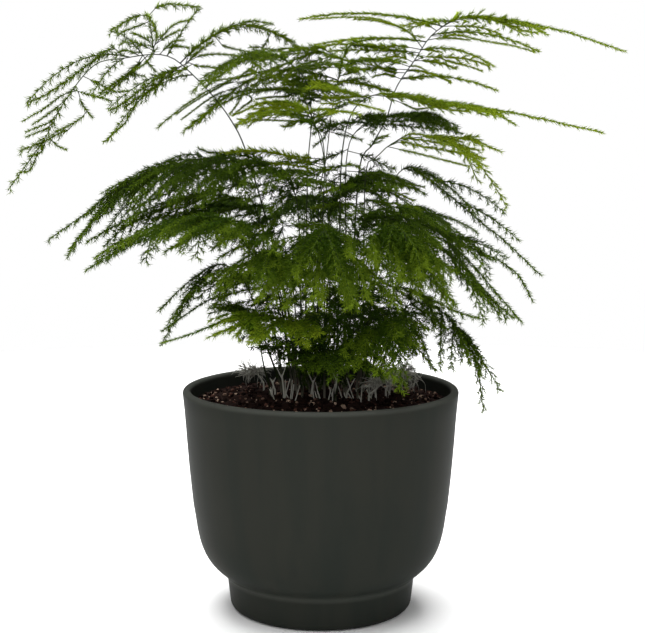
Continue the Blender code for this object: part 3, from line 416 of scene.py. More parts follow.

# Finer plumes, drawn on the front view: depth at the root and at the tip, longest twig, change
# of age, and the line from near its root to its tip in units of the view. A lowered age on the
# plumes in the plant's core and at its back is painted shade.
PLUMES = {
    "frond_left_tall": [
        (0, 4, 5.5, 0.1, (125, 50), (112, 48), (97, 58), (85, 67), (65, 82), (45, 95), (27, 103)),
        (2, 6, 5, 0, (148, 52), (137, 66), (120, 80), (110, 86), (100, 93)),
        (0, 8, 4.5, 0, (143, 56), (132, 72), (118, 84), (105, 95)),
        (-2, 2, 3, 0, (143, 56), (150, 65), (156, 72)),
        (4, 2, 2.5, 0, (128, 74), (136, 75), (144, 76)),
        (-8, -6, 3, 0, (88, 80), (97, 83), (108, 88), (117, 92), (125, 91)),
        (-12, -8, 2.5, 0.1, (76, 91), (90, 95), (103, 98), (112, 102)),
        (-12, -10, 2, 0, (76, 91), (65, 94), (55, 100), (45, 108), (33, 115), (23, 121)),
        (-12, -14, 2, 0, (68, 103), (56, 108), (44, 117), (33, 124)),
        (-12, -10, 3, 0, (78, 92), (82, 104), (88, 112), (92, 117)),
        (-13, -16, 3, 0.15, (90, 110), (85, 115), (75, 122), (66, 127), (55, 132)),
        (-14, -18, 3.5, 0.2, (72, 118), (72, 128), (58, 134), (45, 141), (32, 146), (20, 151)),
        (-14, -16, 2, 0, (62, 113), (52, 121), (40, 126), (26, 132)),
        (-15, -18, 2, 0, (57, 124), (48, 128), (38, 132), (26, 137)),
        (-18, -20, 2, 0, (49, 147), (40, 153), (28, 156)),
        (-18, -18, 2, 0, (52, 142), (58, 146), (67, 150)),
        (0, 4, 5, 0.35, (157, 48), (157, 36), (153, 24), (146, 13)),
        (5, 10, 3.5, 0.25, (147, 16), (151, 11), (160, 6), (170, 4), (182, 5), (198, 7)),
        (5, 4, 3.5, 0.1, (147, 16), (140, 15), (130, 19), (120, 25), (110, 30)),
        (3, 3, 2.5, 0, (150, 22), (138, 26), (127, 30), (118, 34)),
        (0, -2, 2, 0, (158, 47), (165, 33), (172, 26), (180, 22), (190, 20)),
        (0, -1, 2.5, 0, (160, 48), (168, 36), (180, 30)),
        (0, -3, 2.5, 0, (161, 49), (172, 42), (184, 40)),
        (0, 2, 2.5, 0, (166, 51), (176, 46), (190, 48)),
        (0, 3, 3, 0, (156, 48), (148, 40), (138, 35), (131, 33)),
        (-1, 2, 3.5, 0, (150, 50), (140, 44), (130, 42), (121, 43)),
        (-2, 1, 3, 0, (140, 57), (132, 52), (124, 50), (116, 53)),
        (-2, -6, 2.5, 0, (157, 48), (150, 58), (142, 66), (134, 70)),
        (0, 10, 5, 0.1, (187, 64), (191, 52), (207, 40), (222, 30), (240, 25), (262, 27),
         (275, 33), (288, 39), (300, 48)),
        (2, 12, 2.5, 0, (232, 29), (240, 23), (255, 21), (273, 24)),
        (0, 3, 3, 0.1, (187, 64), (196, 54), (206, 46), (213, 41)),
        (6, 12, 1.5, 0.15, (214, 36), (222, 45), (240, 50), (260, 54), (268, 56)),
        (10, 14, 2.5, 0.2, (270, 33), (266, 43), (262, 48), (270, 49), (284, 52)),
        (9, 12, 2, 0.1, (262, 49), (256, 47), (250, 47)),
        (0, 4, 2, 0.1, (187, 64), (200, 56), (218, 54), (232, 55), (247, 56)),
        (0, 5, 2, 0.1, (186, 63), (198, 66), (210, 67), (222, 68)),
        (-1, 4, 1.5, 0.35, (199, 80), (212, 81), (225, 79), (238, 77)),
        (0, -14, 6.5, 0.15, (187, 64), (170, 71), (150, 83), (130, 98), (119, 106), (111, 110)),
        (0, -10, 5, 0.05, (183, 66), (168, 76), (152, 89), (137, 99), (124, 108)),
        (-7, -12, 2, 0.1, (146, 92), (134, 107), (126, 122), (116, 131), (103, 143)),
        (-2, -6, 2, 0.2, (190, 68), (182, 70), (172, 75)),
        (-20, -22, 2, 0, (40, 164), (30, 170), (22, 172)),
    ],
    "frond_right_tall": [
        (8, 2, 2.5, 0.1, (421, 48), (410, 33), (390, 23), (370, 18), (345, 17), (312, 19)),
        (6, 4, 3, 0.15, (405, 29), (390, 24), (372, 20), (355, 19)),
        (8, 4, 2.5, -0.1, (413, 33), (417, 36), (423, 37)),
        (7, 6, 4, 0.2, (436, 31), (426, 24), (414, 23), (404, 26)),
        (7, 8, 2.5, 0, (440, 27), (436, 20), (429, 19)),
        (6, 12, 3, 0.1, (445, 24), (455, 17), (458, 13)),
        (6, 0, 5, 0.1, (440, 28), (455, 19), (475, 16), (500, 19), (522, 24), (545, 29)),
        (4, -4, 3.5, 0.25, (490, 20), (508, 24), (522, 30), (537, 33)),
        (6, -4, 4, 0.2, (442, 27), (458, 26), (478, 27), (490, 30), (500, 34)),
        (8, -8, 2.5, 0.1, (430, 36), (444, 36), (458, 35), (485, 41), (510, 45), (535, 52)),
        (8, 2, 3, 0, (428, 40), (440, 38), (452, 38), (470, 40)),
        (10, 6, 5, 0, (420, 50), (400, 46), (380, 46), (350, 44), (330, 45), (312, 49)),
        (12, 16, 4.5, -0.1, (418, 52), (400, 51), (375, 50), (350, 50), (328, 51)),
        (14, 18, 3, 0, (368, 46), (357, 41), (345, 40), (338, 43)),
        (9, 6, 2.5, 0.1, (420, 49), (430, 50), (441, 52)),
        (10, 4, 5, 0.3, (413, 60), (425, 57), (442, 57), (460, 58), (475, 61), (489, 66)),
        (10, 14, 4, 0.05, (413, 61), (428, 61), (444, 64), (456, 69)),
        (10, 0, 3, 0.3, (436, 58), (452, 62), (468, 66), (482, 71)),
        (10, 14, 4, 0.15, (412, 62), (402, 57), (390, 57), (380, 60)),
        (12, 20, 4, -0.2, (410, 66), (395, 62), (380, 60), (362, 58)),
        (12, 22, 4, -0.25, (408, 69), (392, 69), (375, 68), (355, 70)),
        (12, 18, 4, -0.2, (405, 73), (392, 72), (380, 68), (368, 64)),
        (12, 16, 2.5, -0.2, (402, 79), (393, 76), (384, 74), (372, 77)),
        (10, 2, 1.5, 0.2, (406, 71), (420, 71), (434, 75), (450, 81)),
        (11, 8, 1.5, 0, (408, 67), (416, 66), (424, 69)),
        (12, 10, 1.5, 0, (403, 78), (413, 78), (423, 78)),
        (12, 8, 1.5, -0.2, (394, 100), (404, 104), (416, 109), (426, 108), (438, 107)),
    ],
    "frond_middle_tall": [
        (6, 10, 7, 0.1, (336, 52), (318, 52), (300, 58), (280, 66), (262, 74), (245, 82)),
        (8, 14, 6, 0.05, (262, 74), (240, 86), (222, 100), (205, 114), (189, 128)),
        (6, 16, 6, 0, (334, 58), (318, 60), (298, 66), (278, 74), (262, 80), (248, 88)),
        (6, 2, 6, -0.05, (333, 66), (318, 68), (300, 72), (284, 78), (266, 84)),
        (8, 20, 5, -0.1, (332, 74), (316, 76), (298, 80), (282, 83)),
        (6, 0, 5, 0.25, (338, 50), (322, 48), (308, 48), (296, 50), (284, 53)),
        (6, -4, 4, 0.25, (322, 52), (300, 53), (284, 55), (268, 57)),
        (10, 14, 2, 0, (266, 72), (256, 64), (247, 58)),
        (10, 16, 2, 0, (262, 74), (250, 70), (238, 78)),
        (10, 6, 1, -0.2, (244, 82), (228, 83), (214, 90), (200, 98), (186, 107), (178, 113)),
        (10, 14, 1, -0.2, (236, 88), (220, 93), (206, 101), (194, 110), (182, 119)),
        (12, 16, 3.5, 0.2, (228, 97), (216, 103), (204, 117), (197, 124)),
        (8, 4, 2, 0, (250, 84), (243, 93), (238, 103), (230, 114)),
        (8, 10, 2, 0, (243, 92), (252, 99), (244, 106), (235, 113)),
        (6, 0, 3, 0, (334, 98), (318, 95), (300, 91), (283, 88), (268, 90), (256, 92)),
        (8, 16, 4, -0.1, (334, 82), (318, 84), (300, 84), (284, 85)),
        (8, 20, 4, -0.15, (336, 90), (322, 88), (306, 88), (292, 90)),
        (6, -2, 2, 0, (300, 93), (288, 96), (272, 97), (256, 99)),
        (4, 0, 5, 0.35, (337, 70), (352, 64), (340, 58), (326, 56)),
        (6, 14, 5, 0, (338, 66), (350, 70), (362, 69), (374, 70)),
        (4, 8, 4, 0, (340, 60), (354, 61), (368, 60), (382, 61)),
        (6, 10, 4, 0.1, (337, 82), (350, 80), (362, 83), (375, 87), (388, 92)),
        (4, 0, 5, 0.2, (334, 86), (322, 82), (314, 78), (308, 76)),
        (4, -2, 4, 0.35, (336, 92), (326, 88), (316, 84), (308, 84)),
        (6, 6, 3, 0, (341, 76), (349, 73), (357, 71)),
    ],
    "frond_middle_second": [
        (0, -6, 4, 0.35, (320, 76), (312, 82), (306, 88), (302, 94)),
        (0, 8, 4, 0.2, (332, 96), (344, 97), (358, 96), (372, 98)),
        (-2, 2, 4, 0.1, (310, 80), (326, 84), (340, 90), (358, 95)),
        (-4, 6, 4, -0.1, (308, 56), (324, 62), (340, 66), (358, 70)),
        (-2, -8, 3, 0.2, (306, 60), (296, 68), (288, 76), (283, 82)),
    ],
    "frond_right_long": [
        (-12, -10, 4, 0, (372, 91), (392, 97), (412, 97), (432, 101), (452, 106)),
        (-13, -8, 5, 0.15, (400, 97), (420, 98), (445, 103), (470, 109), (500, 114)),
        (-13, -20, 4, 0.1, (405, 98), (425, 104), (448, 109), (470, 112)),
        (-12, -6, 4, 0, (352, 93), (338, 90), (326, 86), (312, 82)),
        (-12, -4, 4, 0.1, (360, 92), (348, 97), (336, 98), (324, 96)),
        (-10, -20, 3, 0.35, (343, 106), (352, 103), (366, 106), (384, 111)),
        (-10, -16, 3, 0.3, (341, 108), (336, 104), (328, 103), (322, 104)),
    ],
    "frond_left_band": [
        (-10, -12, 4.5, 0.25, (322, 113), (305, 109), (285, 105), (268, 103), (255, 104)),
        (-10, -16, 4.5, 0.25, (318, 113), (300, 110), (282, 108), (268, 108), (254, 109)),
        (-10, -6, 4, 0.2, (320, 112), (302, 107), (284, 103), (266, 102)),
        (-8, -14, 2, -0.2, (322, 118), (308, 117), (292, 115), (276, 112), (262, 112), (249, 114)),
        (-8, -4, 2, -0.2, (322, 122), (306, 122), (290, 121), (268, 120), (252, 120), (238, 119)),
        (-8, 0, 4, -0.4, (324, 120), (312, 121), (300, 120), (288, 124)),
        (-8, -14, 4, -0.4, (322, 126), (308, 122), (296, 117), (284, 114)),
        (-8, -2, 3, -0.2, (300, 121), (290, 126), (282, 126)),
        (-10, -12, 3.5, 0.2, (322, 160), (298, 157), (285, 155), (270, 152), (250, 151),
         (222, 153)),
        (-10, -8, 3.5, 0.1, (322, 166), (300, 160), (280, 154), (260, 151), (240, 150)),
        (-10, -4, 2, 0.1, (322, 172), (300, 166), (270, 163), (245, 161), (221, 162)),
        (-8, 4, 6, -0.4, (322, 168), (306, 163), (288, 163), (272, 166)),
        (-8, 10, 6, -0.45, (322, 178), (308, 172), (292, 170), (278, 173)),
    ],
    "frond_back_high": [
        (24, 34, 5, -0.1, (325, 96), (314, 98), (302, 100), (296, 104)),
        (24, 40, 5, -0.1, (326, 88), (338, 84), (352, 80), (366, 78)),
    ],
    "frond_right_dark": [
        (12, 14, 5, 0, (340, 118), (362, 116), (385, 116), (408, 116), (430, 117)),
        (12, 4, 5, 0, (350, 120), (372, 120), (396, 121), (420, 121), (444, 126), (456, 131)),
        (10, 20, 5, -0.1, (345, 124), (368, 125), (392, 125), (416, 127), (436, 130)),
        (12, 24, 5, 0, (336, 122), (322, 121), (312, 124)),
        (12, 4, 5, 0, (338, 126), (326, 126), (314, 129)),
        (10, 14, 3, 0, (408, 117), (424, 113), (436, 115), (446, 121)),
        (6, 10, 2.5, 0, (334, 130), (324, 138), (314, 146)),
        (6, 12, 2.5, 0, (336, 132), (348, 136), (362, 140)),
        (10, 0, 5, 0, (352, 150), (340, 153), (326, 158), (312, 162)),
        (10, 20, 6, 0, (352, 152), (366, 156), (382, 164), (396, 170)),
        (10, 6, 6, 0, (354, 166), (340, 166), (326, 170), (312, 176)),
        (10, 24, 6, 0, (354, 172), (370, 173), (386, 176), (402, 182)),
        (10, 16, 6, -0.1, (352, 182), (338, 182), (324, 186), (311, 190)),
    ],
    "frond_right_young": [
        (-8, -4, 3.5, 0, (388, 140), (404, 138), (420, 140), (440, 143), (462, 147), (478, 150)),
        (-8, -14, 3.5, 0, (386, 144), (402, 142), (420, 146), (444, 150), (466, 154), (484, 158)),
        (-8, -2, 3, 0, (392, 138), (410, 134), (430, 136), (456, 140)),
        (-8, -16, 2.5, -0.2, (386, 146), (402, 150), (420, 154), (444, 160), (468, 166)),
        (-6, 4, 5, -0.5, (366, 176), (380, 186), (396, 192), (412, 200)),
        (-6, 6, 5, -0.5, (364, 184), (350, 186), (336, 188), (320, 194)),
        (-6, -10, 5, -0.5, (362, 200), (378, 202), (396, 204), (418, 208)),
        (-6, 10, 5, -0.5, (362, 204), (346, 204), (330, 206), (312, 208)),
    ],
    "frond_left_upper": [
        (-12, -16, 5, 0, (204, 160), (176, 160), (150, 168), (126, 180), (102, 193)),
        (-12, -6, 5, -0.05, (200, 164), (176, 167), (154, 174), (138, 182)),
        (-14, -6, 3, -0.1, (236, 152), (218, 153), (208, 152), (198, 148)),
        (-14, -10, 4, -0.1, (222, 156), (212, 160), (204, 166)),
        (-14, -30, 6, 0, (300, 168), (284, 166), (268, 170), (250, 172), (232, 174)),
        (-14, -20, 6, -0.1, (298, 176), (284, 178), (266, 184), (250, 188)),
        (-12, 6, 6, -0.2, (298, 180), (286, 186), (270, 192), (252, 198)),
        (-16, -34, 5, 0, (296, 186), (286, 194), (276, 204), (270, 210)),
        (-10, 0, 5, -0.2, (300, 192), (288, 196), (276, 200)),
    ],
    "frond_left_mid_high": [
        (-4, -12, 6, 0, (280, 204), (262, 206), (240, 208), (220, 212), (200, 218)),
        (-4, -20, 6, 0, (278, 210), (258, 212), (238, 216), (218, 222)),
        (-4, 10, 6, 0, (262, 196), (244, 198), (224, 200), (204, 206)),
        (-2, 14, 6, -0.1, (282, 214), (264, 220), (246, 228), (230, 238)),
        (-2, -24, 6, 0, (272, 218), (254, 224), (236, 232), (222, 240), (212, 250)),
        (-4, -26, 6, 0, (240, 186), (218, 190), (196, 196), (176, 204)),
        (-8, -20, 7, 0, (215, 196), (195, 202), (172, 212), (150, 224), (130, 238)),
        (-10, -24, 7, 0, (200, 190), (176, 199), (150, 208), (126, 220), (104, 232), (86, 242)),
        (-10, -18, 7, 0, (190, 200), (168, 206), (146, 215), (124, 228), (104, 246)),
        (-6, -2, 7, -0.05, (196, 182), (174, 190), (154, 199), (134, 210)),
        (-6, -14, 7, -0.05, (236, 190), (212, 192), (188, 197), (164, 204)),
        (-8, -10, 7, -0.1, (220, 204), (198, 212), (176, 220), (156, 230)),
        (-8, 4, 7, -0.1, (240, 200), (215, 206), (190, 214), (166, 222)),
        (-8, -16, 7, 0.05, (210, 190), (188, 198), (164, 208), (140, 220), (118, 230)),
    ],
    "frond_left_mid_low": [
        (-22, -30, 6, 0, (270, 222), (250, 230), (230, 238), (214, 248)),
        (-20, -34, 6, 0, (272, 232), (254, 240), (236, 248), (218, 258)),
        (-24, -40, 5, 0.1, (236, 222), (216, 226), (196, 234), (178, 244), (164, 252)),
    ],
    "frond_right_arc_high": [
        (12, 6, 3, 0.1, (405, 168), (418, 172), (430, 180), (442, 181)),
        (12, 8, 2, -0.1, (396, 183), (410, 184), (424, 187)),
        (12, 8, 2, -0.1, (390, 193), (378, 191), (366, 190)),
    ],
    "frond_right_arc_mid": [
        (0, 8, 4, -0.1, (388, 206), (402, 208), (416, 214), (430, 222)),
        (0, 10, 4, -0.1, (384, 196), (372, 200), (360, 206)),
    ],
    "frond_front_low_left": [
        (-46, -62, 6, -0.05, (288, 316), (270, 318), (250, 322), (232, 328), (215, 334)),
        (-40, -64, 6, -0.05, (292, 318), (302, 322), (312, 328), (318, 334)),
        (-46, -72, 6, 0.0, (280, 320), (272, 328), (262, 336), (252, 342)),
        (-50, -60, 2, -0.4, (224, 322), (204, 329), (182, 337), (161, 343)),
        (-44, -54, 6, -0.15, (292, 312), (272, 312), (250, 316), (228, 322)),
    ],
    "frond_front_right": [
        (-40, -78, 4, 0.3, (352, 228), (350, 238), (350, 248), (350, 257)),
        (-40, -80, 4.5, 0.3, (368, 226), (373, 240), (375, 252), (375, 265)),
        (-44, -82, 4.5, 0.3, (384, 232), (394, 246), (398, 264), (400, 281)),
        (-44, -76, 4.5, 0.3, (394, 232), (412, 246), (418, 262), (420, 277)),
        (-40, -72, 4, 0.3, (398, 232), (416, 242), (424, 254), (427, 268)),
        (-40, -66, 4, 0.2, (400, 232), (422, 244), (434, 260), (441, 279)),
    ],
    "frond_front_middle": [
        (-60, -86, 4.5, 0.3, (322, 246), (318, 262), (317, 280), (317, 297)),
        (-60, -88, 4.5, 0.3, (326, 246), (324, 268), (322, 288), (321, 305)),
        (-56, -88, 4.5, 0.3, (332, 244), (342, 264), (347, 288), (348, 308)),
        (-56, -80, 4.5, 0.15, (322, 240), (308, 250), (300, 264), (296, 278)),
        (-56, -86, 4.5, 0.2, (336, 246), (356, 264), (364, 284), (368, 300)),
    ],
    "frond_left_low": [
        (-10, -24, 6, -0.05, (252, 260), (233, 267), (212, 280), (190, 295)),
        (-10, -18, 6, -0.1, (244, 270), (226, 279), (208, 289), (198, 298)),
        (-10, -14, 6, -0.1, (256, 262), (242, 270), (228, 282), (218, 292)),
    ],
    "frond_right_droop": [
        (-20, -24, 6, 0.1, (392, 284), (412, 292), (436, 302), (458, 312), (478, 318)),
        (-20, -20, 6, -0.05, (392, 292), (412, 304), (430, 316), (448, 330)),
        (-20, -22, 7, -0.05, (390, 300), (404, 314), (416, 330), (424, 346)),
        (-22, -26, 4, 0, (388, 306), (400, 324), (410, 340), (424, 356), (436, 371)),
        (-20, -16, 6, -0.1, (380, 284), (398, 286), (416, 292), (432, 300)),
    ],
    "frond_right_arc_low": [
        (0, -4, 5, 0, (440, 258), (462, 274), (488, 296), (513, 318)),
        (0, 4, 6, 0, (420, 250), (446, 266), (470, 284), (492, 302)),
        (0, -10, 6, 0, (404, 258), (424, 272), (442, 290), (456, 306)),
    ],
    "frond_core_front": [
        (-20, -24, 8, -0.15, (318, 300), (316, 316), (314, 332), (312, 348)),
        (-20, -24, 8, -0.15, (328, 300), (332, 318), (334, 336), (334, 352)),
        (-20, -26, 8, -0.15, (306, 310), (300, 326), (296, 342), (292, 356)),
        (-20, -24, 8, -0.15, (338, 305), (342, 322), (344, 340), (342, 356)),
        (-20, -20, 8, -0.15, (322, 330), (322, 344), (321, 358), (320, 370)),
        (-20, -20, 8, -0.15, (310, 340), (306, 352), (304, 364), (303, 374)),
        (-4, -4, 9, -0.25, (316, 350), (310, 362), (306, 374), (304, 384)),
        (-4, -4, 9, -0.25, (324, 350), (324, 362), (323, 374), (322, 385)),
        (-4, -4, 9, -0.25, (332, 350), (336, 362), (339, 373), (341, 383)),
        (0, 6, 9, -0.25, (312, 346), (298, 354), (288, 364), (283, 376)),
        (0, 6, 9, -0.25, (308, 330), (294, 334), (282, 342), (274, 352)),
    ],
    "frond_front_low_right": [
        (-40, -50, 8, -0.15, (352, 300), (360, 318), (366, 338), (370, 356)),
        (-36, -46, 8, -0.15, (364, 300), (378, 318), (386, 338), (392, 356)),
        (-40, -52, 8, -0.15, (346, 300), (347, 318), (346, 338), (345, 356)),
        (-34, -44, 7, -0.05, (376, 298), (396, 312), (406, 328), (412, 344)),
        (-30, -36, 8, -0.2, (340, 296), (334, 312), (330, 328), (328, 342)),
        (-30, -34, 8, -0.2, (356, 292), (370, 304), (384, 316), (396, 330)),
        (-34, -44, 7, -0.1, (370, 318), (384, 326), (398, 338), (404, 350)),
    ],
    "frond_core_left": [
        (-6, -20, 7, -0.05, (300, 280), (280, 284), (258, 288), (236, 292), (222, 297)),
        (-6, 4, 7, -0.05, (302, 292), (284, 296), (266, 300), (248, 306)),
        (-6, -12, 7, -0.05, (302, 304), (286, 306), (268, 309), (250, 314)),
        (-6, -8, 7, -0.05, (300, 270), (280, 273), (258, 278), (236, 284), (220, 289)),
        (-6, -2, 7, -0.05, (300, 286), (282, 292), (262, 298), (240, 303)),
        (-20, -40, 2, -0.1, (228, 290), (207, 301), (185, 315), (162, 331)),
    ],
    "frond_back_left": [
        (36, 44, 9, -0.1, (300, 212), (280, 216), (262, 222), (246, 230)),
        (36, 44, 9, -0.1, (300, 225), (282, 230), (264, 238), (248, 248)),
        (34, 40, 9, -0.1, (300, 240), (284, 244), (268, 252), (252, 262)),
        (32, 36, 9, -0.1, (302, 255), (286, 260), (270, 268), (254, 278)),
        (30, 32, 9, -0.1, (302, 270), (288, 274), (272, 281), (256, 290)),
        (30, 46, 9, -0.1, (304, 222), (320, 226), (336, 232), (352, 240)),
    ],
    "frond_left_front": [
        (-24, -34, 7, 0, (290, 214), (276, 220), (262, 230), (252, 242)),
        (-24, -40, 7, 0, (288, 226), (272, 234), (256, 246), (246, 258)),
        (-22, -30, 7, -0.1, (290, 240), (276, 250), (262, 262), (252, 274)),
        (-22, -34, 7, -0.1, (290, 256), (276, 266), (262, 276), (250, 286)),
    ],
    "frond_front_left": [
        (-50, -80, 5, 0.15, (290, 266), (276, 276), (266, 288), (258, 300)),
        (-46, -84, 5, 0.15, (300, 262), (296, 280), (290, 296), (286, 308)),
    ],
    "frond_back_middle": [
        (50, 60, 9, -0.2, (322, 226), (338, 232), (354, 240), (368, 250)),
        (50, 60, 9, -0.2, (318, 232), (304, 240), (290, 250), (278, 262)),
        (46, 54, 9, -0.2, (320, 250), (336, 256), (354, 262), (372, 272)),
        (46, 54, 9, -0.2, (318, 256), (302, 264), (286, 274), (272, 284)),
        (40, 50, 9, -0.2, (320, 274), (338, 280), (356, 288), (372, 298)),
        (40, 50, 9, -0.2, (318, 280), (304, 290), (290, 300), (278, 310)),
        (36, 40, 9, -0.2, (320, 296), (336, 304), (352, 312), (368, 322)),
    ],
    "frond_back_right": [
        (40, 50, 9, -0.2, (366, 250), (382, 254), (398, 262), (412, 272)),
        (36, 44, 9, -0.2, (362, 274), (378, 280), (394, 288), (408, 298)),
        (32, 40, 9, -0.2, (356, 298), (372, 306), (388, 314), (400, 324)),
        (32, 36, 9, -0.15, (360, 284), (376, 290), (392, 298), (408, 308)),
        (30, 36, 9, -0.15, (364, 264), (382, 266), (400, 274), (418, 286)),
        (44, 60, 9, -0.2, (366, 232), (384, 234), (402, 240), (420, 248)),
    ],
    "frond_back_low": [
        (46, 50, 9, -0.2, (340, 318), (326, 322), (312, 328), (298, 336)),
        (46, 50, 9, -0.2, (340, 322), (354, 326), (368, 332), (382, 340)),
        (44, 44, 9, -0.25, (336, 334), (322, 338), (308, 344), (294, 352)),
        (44, 44, 9, -0.25, (338, 338), (352, 342), (366, 348), (380, 356)),
        (38, 36, 8, -0.25, (334, 350), (320, 354), (306, 360), (294, 366)),
        (38, 36, 8, -0.25, (334, 352), (348, 358), (360, 364), (370, 370)),
        (38, 40, 8, -0.25, (310, 330), (294, 340), (284, 352), (276, 364)),
        (36, 40, 9, -0.25, (336, 314), (322, 314), (308, 318), (294, 326)),
        (36, 40, 9, -0.25, (340, 312), (356, 316), (372, 322), (386, 332)),
        (34, 38, 9, -0.25, (336, 328), (322, 330), (308, 334), (292, 342)),
        (34, 38, 9, -0.25, (340, 328), (356, 332), (372, 338), (388, 346)),
        (32, 34, 9, -0.25, (336, 342), (322, 346), (306, 350), (290, 356)),
        (32, 34, 9, -0.25, (340, 344), (354, 348), (370, 354), (384, 360)),
        (30, 30, 9, -0.25, (336, 358), (322, 362), (308, 367), (296, 373)),
        (30, 30, 9, -0.25, (338, 358), (350, 363), (362, 368), (374, 374)),
        (30, 30, 9, -0.25, (337, 366), (328, 372), (318, 378), (310, 382)),
        (40, 44, 8, -0.25, (334, 308), (320, 306), (306, 312), (292, 320)),
        (40, 44, 8, -0.25, (340, 304), (356, 306), (372, 312), (388, 320)),
    ],
}


def colour(name, description, default):
    """A setting for a colour."""
    return FloatVectorProperty(name=name, description=description, subtype="COLOR", size=3,
                               default=default, min=0, max=1)


def amount(name, description, default, **more):
    """A setting for a number, with its unit or its limits."""
    return FloatProperty(name=name, description=description, default=default, **more)


def number_of(name, description, default, least=0):
    """A setting for a whole number."""
    return IntProperty(name=name, description=description, default=default, min=least)


class PotSettings(bpy.types.PropertyGroup):
    """Shape and glaze of the pot."""

    turn_steps: number_of("Turn Steps", "Facets round the pot", 144, 24)
    glaze: colour("Glaze", "Colour of the fired glaze", (0.0208, 0.0220, 0.0180))
    glaze_cool: colour(
        "Cool Glaze", "Bluer colour in the glaze's thicker streaks", (0.0166, 0.0193, 0.0162))
    # Paler glaze painted over the lip's top and the foot's ledge as a highlight.
    glaze_highlight: colour(
        "Thin Glaze", "Paler colour where the glaze runs thin over an edge",
        (0.075, 0.079, 0.069))
    roughness: amount("Roughness", "How satin the glaze is", 0.5, min=0, max=1)


class SoilSettings(bpy.types.PropertyGroup):
    """Grain and colour of the soil."""

    crumbs: number_of("Crumbs", "Loose crumbs on the soil", 2300)
    crumb_size: amount("Crumb Size", "Radius of a middling crumb", 0.00105, unit="LENGTH")
    earth: colour("Earth", "Dark moist earth", (0.005, 0.0025, 0.002))
    bark: colour("Bark", "Reddish bits of bark", (0.095, 0.044, 0.032))
    grit: colour("Grit", "Pale specks", (0.50, 0.36, 0.27))


class FernSettings(bpy.types.PropertyGroup):
    """Fineness and colours of the fronds."""

    needle: amount("Needle Length", "Length of a full-grown needle", 0.0042, unit="LENGTH")
    needle_radius: amount(
        "Needle Radius", "Radius of a needle at its root", 0.00027, unit="LENGTH")
    whorl_step: amount(
        "Whorl Step", "Distance between whorls of needles on a twig", 0.0015, unit="LENGTH")
    whorl_needles: number_of("Needles In A Whorl", "Needles that stand round one point", 4, 2)
    twig_step: amount(
        "Twig Step", "Distance between twigs, which stand left and right by turns", 0.0029,
        unit="LENGTH")
    # The old colours stand for real old needles, and also carry the painted shade at needle roots
    # and in the core fronds.
    deep_old: colour("Deep Old", "Oldest, darkest needles", (0.014, 0.036, 0.002))
    deep_new: colour("Deep New", "Needles at the tips of dark fronds", (0.132, 0.215, 0.011))
    bright_old: colour("Bright Old", "Inner needles of bright fronds", (0.070, 0.145, 0.005))
    bright_new: colour("Bright New", "Yellow-green needles at the tips", (0.320, 0.415, 0.020))
    stem_green: colour("Stem", "Wiry stem above the soil", (0.022, 0.030, 0.012))
    stem_pale: colour("Stem Foot", "Dry skin at a stem's foot", (0.200, 0.185, 0.150))


class DrySettings(bpy.types.PropertyGroup):
    """Withered growth at the stems' feet."""

    grey: colour("Grey", "Bleached dry needles", (0.44, 0.43, 0.38))
    shade: colour("Shade", "Darker dry twigs", (0.16, 0.15, 0.12))


class StudioSettings(bpy.types.PropertyGroup):
    """Floor, light and camera."""

    floor: colour("Floor", "Colour of the floor", (0.98, 0.98, 0.98))
    sky: amount("Sky", "Strength of the soft light round the plant", 0.33, min=0)
    key: amount("Key Light", "Power of the large lamp above on the left", 12.0, unit="POWER")
    top: amount("Top Light", "Power of the lamp overhead", 40.0, unit="POWER")
    front: amount("Front Light", "Power of the faint lamp in front", 6.5, unit="POWER")
    lens: amount("Lens", "Focal length in millimetres", 82.53)
    distance: amount(
        "Distance", "From the pot's axis to the camera", -EYE[1] * MM, unit="LENGTH")
    height: amount("Camera Height", "Height of the camera", EYE[2] * MM, unit="LENGTH")
    pitch: amount("Pitch", "How far the camera looks down", EYE_PITCH, subtype="ANGLE")


class Wire:
    """A shader value. Arithmetic on it adds Math nodes to its graph."""

    def __init__(self, graph, socket):
        self.graph = graph
        self.socket = socket

    def maths(self, operation, *values):
        return self.graph.node("ShaderNodeMath", {"operation": operation}, values)

    def __add__(self, other):
        return self.maths("ADD", self, other)

    def __sub__(self, other):
        return self.maths("SUBTRACT", self, other)

    def __rsub__(self, other):
        return self.maths("SUBTRACT", other, self)

    def __mul__(self, other):
        return self.maths("MULTIPLY", self, other)

    def __truediv__(self, other):
        return self.maths("DIVIDE", self, other)

    __radd__ = __add__
    __rmul__ = __mul__

    def rises(self, low, high):
        """0 below low, 1 above high, and smooth between them."""
        return self.graph.node("ShaderNodeMapRange", {"interpolation_type": "SMOOTHSTEP"},
                               (self, low, high, 0.0, 1.0))


